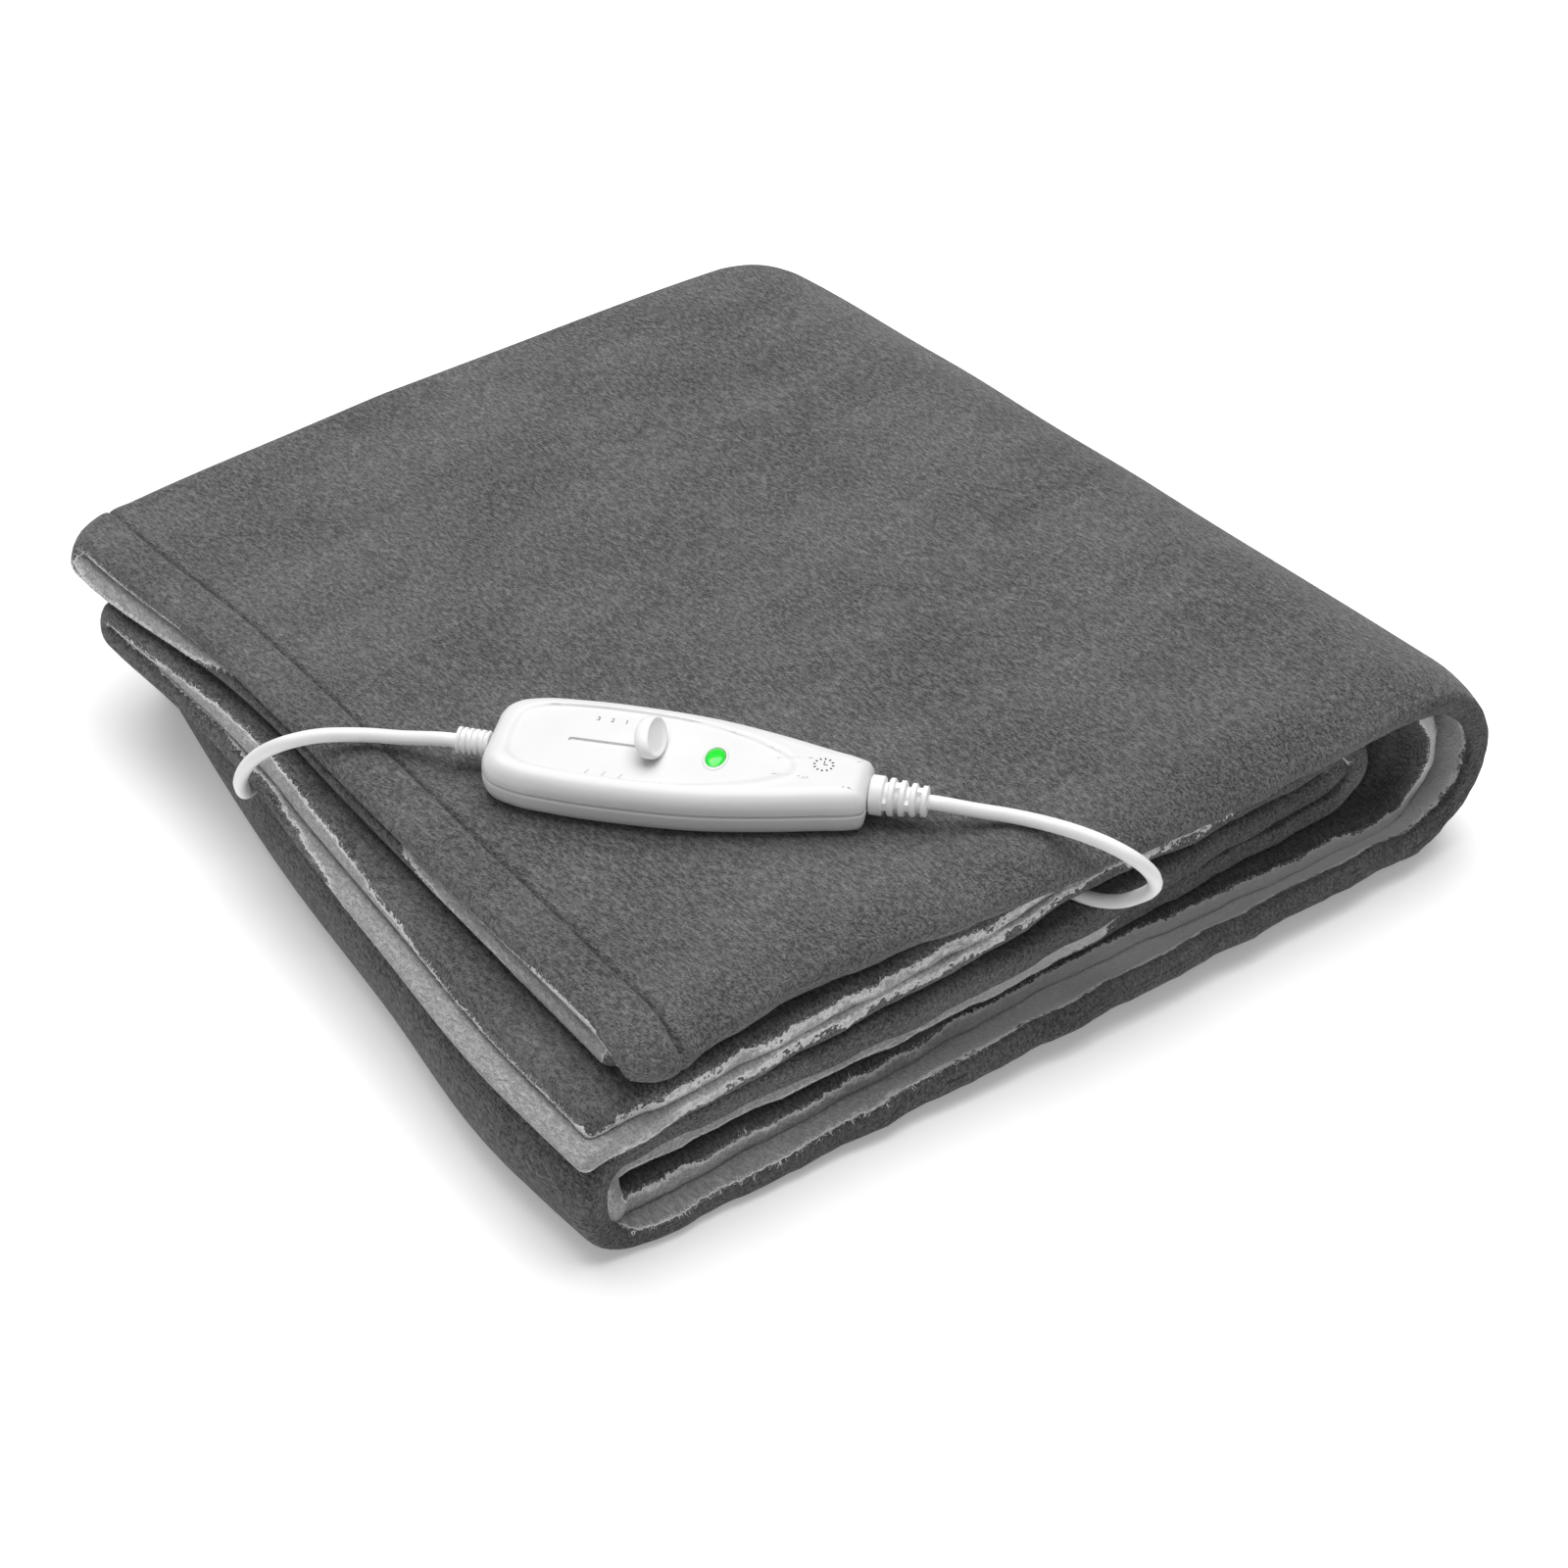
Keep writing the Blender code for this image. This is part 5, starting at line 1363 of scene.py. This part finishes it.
def build_knob():
    """A disc turned about the control's length, made oval, leaned and cut flat below."""
    rings = turned(half_outline(KNOB_PROFILE, 60), 72)
    a, b, c = rings[..., 0], rings[..., 1], rings[..., 2]
    cos, sin = math.cos(KNOB_LEAN), math.sin(KNOB_LEAN)
    u = a * cos - c * sin
    w = (a * sin + c * cos) * KNOB_ASPECT[1] + DISH_FLOOR + KNOB_RISE
    points = np.stack((u + KNOB_AT, b * KNOB_ASPECT[0], w), -1)
    mesh = skin("slider", points, control_to_frame, KNOB_SHARP)
    work = bmesh.new()
    work.from_mesh(mesh)
    foot = (0, 0, (CONTROL_SEAT + DISH_FLOOR + KNOB_CLEAR) * MM)
    made = bmesh.ops.bisect_plane(work, geom=[*work.verts, *work.edges, *work.faces], plane_co=foot,
                                  plane_no=(0, 0, -1), clear_outer=True)
    rim = [item for item in made["geom_cut"] if isinstance(item, bmesh.types.BMEdge)]
    bmesh.ops.edgeloop_fill(work, edges=rim)
    bmesh.ops.recalc_face_normals(work, faces=work.faces)
    work.to_mesh(mesh)
    work.free()
    mesh.set_sharp_from_angle(angle=math.radians(KNOB_SHARP))
    return mesh


add_piece("level_slider_knob", build_knob(), KNOB, "level_slider", ("slider_knob",))

# %% The light and its rim
# share of the lens's half width, and height above the dish
LENS_PROFILE = ((0.05, 0.8), (0.35, 0.76), (0.7, 0.6), (0.92, 0.3), (1.0, 0.0), (1.0, -1.9),
                (0.05, -1.9))
RIM_SECTION = ((1.06, -0.4), (1.07, 0.15), (1.14, 0.34), (1.24, 0.36), (1.34, 0.2), (1.42, -0.05),
               (1.44, -0.4))
OVAL_SIDES = 56


def oval_rings(section, base):
    """A section of relative radius and height carried round the light's oval."""
    section = np.array(section, float)
    t = np.linspace(0, 2 * np.pi, OVAL_SIDES, endpoint=False)
    r, h = section[:, :1], section[:, 1:]
    return np.stack((LIGHT_AT + LIGHT_SIZE[0] * r * np.cos(t), LIGHT_SIZE[1] * r * np.sin(t),
                     base + h + 0 * t), axis=-1)


dome = skin("dome", oval_rings(LENS_PROFILE, DISH_FLOOR), control_to_frame, 40)
add_piece("light_dome", dome, LENS, stands_for=("light_lens",))
rim_rings = control_to_frame(oval_rings(RIM_SECTION, DISH_FLOOR))
rim_faces = grid_quads(len(RIM_SECTION), OVAL_SIDES, close_rows=True, close_columns=True)
add_piece("light_rim", mesh_of("rim", rim_rings, rim_faces, sharp=60), HOUSING)

# %% Marks in ink
INK_HIGH = 0.06
FIGURE_SIZE = 2.9
FIGURES = (("3", -30.0), ("2", -25.2), ("1", -20.4), ("0", -15.8))
FIGURES_V = 12.4
DIAL_AT, DIAL_RADIUS, DIAL_TICKS = (48.0, 2.6), 3.1, 12
DIAL_HANDS = ((90.0, 1.9), (0.0, 1.4))        # direction in degrees, length
TICK_LONG, TICK_WIDE, HAND_WIDE = 0.85, 0.55, 0.32


def bar_boxes(centres, angles, long, wide, low, high):
    """Many thin bars as one array of boxes: each centre, direction, length and width."""
    centres, angles = np.asarray(centres, float), np.asarray(angles, float)
    long, wide = np.broadcast_to(long, len(centres)), np.broadcast_to(wide, len(centres))
    along = np.stack((np.cos(angles), np.sin(angles)), axis=1)
    over = along[:, ::-1] * (-1, 1)
    corners = np.array(((-1, -1), (1, -1), (1, 1), (-1, 1))) / 2
    flat = (centres[:, None] + along[:, None] * (corners[:, 0][None, :, None] * long[:, None, None])
            + over[:, None] * (corners[:, 1][None, :, None] * wide[:, None, None]))
    low, high = np.broadcast_to(low, len(centres)), np.broadcast_to(high, len(centres))
    bottom = np.concatenate((flat, np.broadcast_to(low[:, None, None], (*flat.shape[:2], 1))), -1)
    top = np.concatenate((flat, np.broadcast_to(high[:, None, None], (*flat.shape[:2], 1))), -1)
    points = np.concatenate((bottom, top), axis=1)
    box = np.array(((3, 2, 1, 0), (4, 5, 6, 7), (0, 1, 5, 4),
                    (1, 2, 6, 5), (2, 3, 7, 6), (3, 0, 4, 7)))
    faces = (np.arange(len(centres))[:, None, None] * 8 + box).reshape(-1, 4)
    return points.reshape(-1, 3), faces


def build_dial():
    """A ring of ticks that point to its middle, and two hands."""
    turn = np.linspace(0, 2 * np.pi, DIAL_TICKS, endpoint=False)
    ring = np.array(DIAL_AT) + DIAL_RADIUS * np.stack((np.cos(turn), np.sin(turn)), axis=1)
    hand_turn, hand_long = np.array(DIAL_HANDS).T
    hand_turn = np.radians(hand_turn)
    hand_way = np.stack((np.cos(hand_turn), np.sin(hand_turn)), axis=1)
    centres = np.vstack((ring, np.array(DIAL_AT) + hand_long[:, None] / 2 * hand_way))
    angles = np.concatenate((turn, hand_turn))
    long = np.concatenate((np.full(DIAL_TICKS, TICK_LONG), hand_long))
    wide = np.concatenate((np.full(DIAL_TICKS, TICK_WIDE), np.full(len(DIAL_HANDS), HAND_WIDE)))
    base = top_height(centres)
    points, faces = bar_boxes(centres, angles, long, wide, base - 0.2, base + INK_HIGH)
    return mesh_of("dial", control_to_frame(points), faces)


def build_figure(text, at):
    """A plain figure as a thin mesh, its foot towards the slot, laid in the dish."""
    curve = bpy.data.curves.new("figure_" + text, "FONT")
    curve.body, curve.size = text, FIGURE_SIZE
    curve.align_x = "CENTER"
    curve.align_y = "CENTER"
    curve.extrude = INK_HIGH / 2
    helper = bpy.data.objects.new("figure", curve)
    bpy.context.scene.collection.objects.link(helper)
    mesh = mesh_as_seen(helper)
    bpy.data.objects.remove(helper, do_unlink=True)
    spot = np.zeros(len(mesh.vertices) * 3)
    mesh.vertices.foreach_get("co", spot)
    spot = spot.reshape(-1, 3)
    height = top_height(spot[:, :2] + (at, FIGURES_V)) + spot[:, 2]
    placed = control_to_frame(np.column_stack((spot[:, :2] + (at, FIGURES_V), height)))
    mesh.vertices.foreach_set("co", placed.ravel())
    return mesh


def joined(name, meshes):
    """Several meshes as one."""
    work = bmesh.new()
    for mesh in meshes:
        work.from_mesh(mesh)
    whole = bpy.data.meshes.new(name)
    work.to_mesh(whole)
    work.free()
    return whole


add_piece("level_figures", joined("figures", [build_figure(*row) for row in FIGURES]), PRINT)
add_piece("timer_dial_mark", build_dial(), PRINT)

# %% Raised marks for the fingertip
RAISED_AT = ((-27.0, -15.6), (-21.4, -15.8), (-15.7, -15.9))
RAISED_TURN, RAISED_LONG, RAISED_WIDE, RAISED_HIGH = 1.2, 2.2, 0.6, 0.12
raised_foot = top_height(np.array(RAISED_AT))
raised_points, raised_faces = bar_boxes(RAISED_AT, np.full(len(RAISED_AT), RAISED_TURN),
                                        RAISED_LONG, RAISED_WIDE,
                                        raised_foot - 0.3, raised_foot + RAISED_HIGH)
add_piece("raised_marks", mesh_of("raised", control_to_frame(raised_points), raised_faces),
          HOUSING)

# %% [markdown]
# ## Sleeves
# A ribbed sleeve keeps a lead from kinking where it leaves the housing. Its ribs are cut almost
# through, so that it bends, and each cut leaves two bridges, turned a quarter from one cut to the
# next. On the turned profile the bridges simply fill the cut at some angles.

# %% Ribbed sleeves
def rib_profile(length, root, tip, ribs, collar, cut, groove):
    """Reach and radius: a collar, then ribs with rounded edges between cuts, tapering to the tip.

    groove is the cut's share of a rib's pitch.
    """
    rows = [(0.0, 0.1), (0.0, root - 0.4), (0.35, root), (collar - 0.4, root), (collar, root - 0.4)]
    pitch = (length - collar) / ribs
    for k in range(ribs):
        start = collar + k * pitch
        high = root + (tip - root) * (k + 0.6) / ribs
        rows += [(start + 0.02 * pitch, high - cut), (start + groove * pitch, high - cut),
                 (start + (groove + 0.04) * pitch, high - 0.5),
                 (start + (groove + 0.14) * pitch, high),
                 (start + 0.88 * pitch, high), (start + 0.98 * pitch, high - 0.5)]
    rows += [(length, tip - 0.6), (length, 0.1)]
    return rows, pitch


def build_sleeve(name, length, root, tip, ribs, collar, cut, groove, side):
    """A ribbed sleeve on the control's axis, at its left end (-1) or right end (1)."""
    rows, pitch = rib_profile(length, root, tip, ribs, collar, cut, groove)

    def bridge(reach, turn, radius):
        """Fill the cuts up to 0.5 below the rib where |cos| of twice the angle is large."""
        rib = np.floor((reach - collar) / pitch)
        phase = np.where(rib % 2 == 0, 0.0, np.pi / 2)
        filled = smooth_step((np.abs(np.cos(turn + phase)) - 0.90) / 0.05)
        high = root + (tip - root) * (rib + 0.6) / ribs - 0.5
        lift = np.where((reach > collar) & (reach < length - 0.1), np.maximum(high - radius, 0), 0)
        return radius + lift * filled

    rings = turned(rows, 48, bridge)
    rings = rings * (side, 1, 1) + (side * (HOUSING_LENGTH + 0.3), 0, SLEEVE_HEIGHT)
    return skin(name, rings, control_to_frame, 38)


# length, radius at the root and at the tip, ribs, collar, depth of a cut, its share of the pitch
SLEEVE_TO_MAINS = (11.0, 4.4, 4.6, 5, 1.0, 0.9, 0.24)
SLEEVE_TO_BLANKET = (19.0, 6.6, 5.0, 4, 4.5, 1.7, 0.36)
add_piece("sleeve_to_mains", build_sleeve("sleeve_left", *SLEEVE_TO_MAINS, -1), SLEEVE,
          stands_for=("left_sleeve",))
add_piece("sleeve_to_blanket", build_sleeve("sleeve_right", *SLEEVE_TO_BLANKET, 1), SLEEVE,
          stands_for=("right_sleeve",))

# %% [markdown]
# ## The plug and the band
# Behind the pile the lead ends in a flat two-pin plug, and a dark band holds the coil together.
# The plug is a rounded oblong whose size follows a table along its length, with grip ribs on both
# faces.

# %% The plug
PLUG_AT = (161.3, 412.8, 7.0)
PLUG_LENGTH, PLUG_WIDTH, PLUG_THICK = 37.0, 34.0, 13.6
PIN_LENGTH, PIN_RADIUS, PIN_SPACING = 19.0, 2.0, 18.6
# length, radius at the root and at the tip, ribs, collar, depth of a cut, its share of the pitch
PLUG_SLEEVE = (26.0, 4.6, 3.3, 7, 3.0, 0.8, 0.42)
# place along the plug, share of its width and of its thickness
PLUG_ROWS = ((0.0, 0.80, 0.78), (0.7, 0.92, 0.92), (2.2, 1.0, 1.0), (16.0, 1.0, 1.0),
             (22.0, 0.93, 0.99), (28.0, 0.78, 0.97), (34.0, 0.5, 0.88), (36.4, 0.38, 0.76),
             (37.0, 0.30, 0.62))
GRIPS, GRIP_FROM, GRIP_TO, GRIP_DEPTH = 6, 8.0, 26.0, 0.45


def build_plug():
    """Superellipse rings |y / a|^4 + |z / b|^4 = 1 along the table, with grooves on both faces."""
    reach = np.linspace(0, PLUG_LENGTH, 110)
    wide, thick = rows_at(PLUG_ROWS, reach)
    t = np.linspace(0, 2 * np.pi, 72, endpoint=False)
    cos, sin = np.cos(t), np.sin(t)
    across = np.sign(cos) * np.abs(cos) ** 0.5
    up = np.sign(sin) * np.abs(sin) ** 0.5
    beat = np.clip((reach - GRIP_FROM) / (GRIP_TO - GRIP_FROM), 0, 1)
    groove = GRIP_DEPTH * np.sin(np.pi * GRIPS * beat) ** 2
    face = smooth_step((np.abs(sin) - 0.35) / 0.3)
    z = thick[:, None] * PLUG_THICK / 2 * up[None, :] - groove[:, None] * face * np.sign(sin)
    y = wide[:, None] * PLUG_WIDTH / 2 * across[None, :]
    rings = np.stack((reach[:, None] + 0 * z, y, z), -1)
    return skin("plug", rings + PLUG_AT, pile_to_frame, 45)


def build_pins():
    """Two round pins with rounded tips."""
    profile = ((0.0, 0.05), (0.0, PIN_RADIUS), (PIN_LENGTH - 1.8, PIN_RADIUS),
               (PIN_LENGTH - 0.6, PIN_RADIUS * 0.82), (PIN_LENGTH, PIN_RADIUS * 0.45),
               (PIN_LENGTH, 0.05))
    for name, side, node in (("pin_front", -1, "plug_pin_left"), ("pin_back", 1, "plug_pin_right")):
        rings = turned(profile, 32) * (-1, 1, 1)
        rings = rings + (PLUG_AT[0] - 0.3, PLUG_AT[1] + side * PIN_SPACING / 2, PLUG_AT[2])
        pin = skin(name, rings, pile_to_frame, 40)
        yield add_piece(name, pin, PIN, stands_for=(node,))


def build_plug_sleeve():
    """The tapered sleeve behind the plug, with rings cut round it and staggered bridges."""
    rows, pitch = rib_profile(*PLUG_SLEEVE)
    length, collar = PLUG_SLEEVE[0], PLUG_SLEEVE[4]

    def bridge(reach, turn, radius):
        """Fill alternate cuts on two sides."""
        phase = np.where(np.floor((reach - collar) / pitch) % 2 == 0, 0.0, np.pi / 2)
        filled = smooth_step((np.abs(np.cos(turn + phase)) - 0.86) / 0.06)
        return radius + 0.3 * filled * ((reach > collar) & (reach < length - 0.1))

    rings = turned(rows, 40, bridge)
    rings = rings + (PLUG_AT[0] + PLUG_LENGTH + 0.3, PLUG_AT[1], PLUG_AT[2])
    return skin("plug_sleeve_ribbed", rings, pile_to_frame, 38)


plug = add_piece("mains_plug", build_plug(), PLUG_SKIN, stands_for=("plug_body",))
pins = list(build_pins())
plug_guard = add_piece("mains_plug_sleeve", build_plug_sleeve(), PLUG_SKIN,
                       stands_for=("plug_sleeve",))

# %% The band round the coil
COIL_HOLE, COIL_RIM, COIL_TALL = 18.0, 33.0, 20.0
BAND_WIDTH, BAND_THICK = 12.0, 1.2
BAND_GAP = 0.3


def build_band():
    """A flat section with rounded edges carried round an oblong with rounded corners."""
    inner = math.sqrt(COIL_HOLE ** 2 - (BAND_WIDTH / 2) ** 2) - BAND_GAP
    outer = COIL_RIM + BAND_GAP
    low, high = BAND_THICK, BAND_THICK + COIL_TALL + 2 * BAND_GAP
    corner = 1.6
    spots, normals = [], []
    for cx, cz, turn in ((outer - corner, high - corner, 0), (inner + corner, high - corner, 90),
                         (inner + corner, low + corner, 180), (outer - corner, low + corner, 270)):
        t = np.radians(turn + np.linspace(0, 90, 7))
        spots.append(np.stack((cx + corner * np.cos(t), cz + corner * np.sin(t)), axis=1))
        normals.append(np.stack((np.cos(t), np.sin(t)), axis=1))
    spots, normals = np.vstack(spots), np.vstack(normals)
    half = BAND_WIDTH / 2
    section = np.array(((-half, 0.3), (-half + 0.35, 0.0), (half - 0.35, 0.0), (half, 0.3),
                        (half, BAND_THICK - 0.35), (half - 0.35, BAND_THICK), (0, BAND_THICK),
                        (-half + 0.35, BAND_THICK), (-half, BAND_THICK - 0.35)))
    flat = spots[:, None] + normals[:, None] * section[None, :, 1:]
    across = np.broadcast_to(section[None, :, 0], flat.shape[:2])
    rings = np.stack((flat[..., 0], across, flat[..., 1]), -1)
    rings = rings + (*COIL_CENTRE, 0)
    faces = grid_quads(len(spots), len(section), close_rows=True, close_columns=True)
    return mesh_of("band", pile_to_frame(rings), faces, sharp=40)


band = add_piece("coil_band", build_band(), BAND, stands_for=("lead_tie",))

# %% [markdown]
# ## Facts of the soft pieces
# Where the two leads start, worked out in the frame's metres.

tuple(pile_to_frame(MAINS_ROUTE[0]))
tuple(pile_to_frame(BLANKET_ROUTE[0]))

# %% [markdown]
# ## Floor and light
# The pile lies on a plain white floor under a wide soft light from above, so its sides are lit
# mostly by the floor and come out darker than its top, with a soft shadow where it touches.

# %% Floor
FLOOR_HALF = 4.0
FLOOR_DROP = 0.0004
FLOOR_GLOW = 0.22         # keeps the bare floor white, as in an overexposed studio shot


def build_floor():
    """A square of plain pale floor, a hair below the pile."""
    corners = np.array(((-1, -1), (1, -1), (1, 1), (-1, 1))) * FLOOR_HALF
    mesh = bpy.data.meshes.new("floor")
    mesh.from_pydata([(x, y, -FLOOR_DROP) for x, y in corners], [], [(0, 1, 2, 3)])
    material, _, shader, _ = start_material("floor", 0.9, specular=0.1)
    shader.inputs["Base Color"].default_value = grey(0.95)
    shader.inputs["Emission Color"].default_value = grey(1.0)
    shader.inputs["Emission Strength"].default_value = FLOOR_GLOW
    mesh.materials.append(material)
    floor = bpy.data.objects.new("floor", mesh)
    bpy.context.scene.collection.objects.link(floor)


build_floor()

# %% Lights
# place, size, power in watts
LIGHTS = (
    ("overhead", (0.35, 0.45, 2.2), 2.6, 74.0),
    ("front fill", (-1.6, -1.5, 1.5), 1.6, 6.0),
)
WORLD_LIGHT = 0.23


def add_lights():
    """Soft square lamps that look at the pile, and a pale even sky."""
    for name, spot, size, power in LIGHTS:
        data = bpy.data.lights.new(name, "AREA")
        data.shape, data.size, data.energy = "SQUARE", size, power
        lamp = bpy.data.objects.new(name, data)
        lamp.location = spot
        aim = np.array((0.0, 0.0, 0.04)) - np.array(spot)
        lamp.rotation_euler = (math.acos(-aim[2] / np.linalg.norm(aim)), 0,
                               math.atan2(aim[1], aim[0]) - math.pi / 2)
        bpy.context.scene.collection.objects.link(lamp)
    world = bpy.data.worlds.new("even sky")
    world.use_nodes = True
    world.node_tree.nodes["Background"].inputs["Color"].default_value = grey(1.0)
    world.node_tree.nodes["Background"].inputs["Strength"].default_value = WORLD_LIGHT
    bpy.context.scene.world = world


add_lights()
bpy.context.scene.view_settings.view_transform = "Standard"
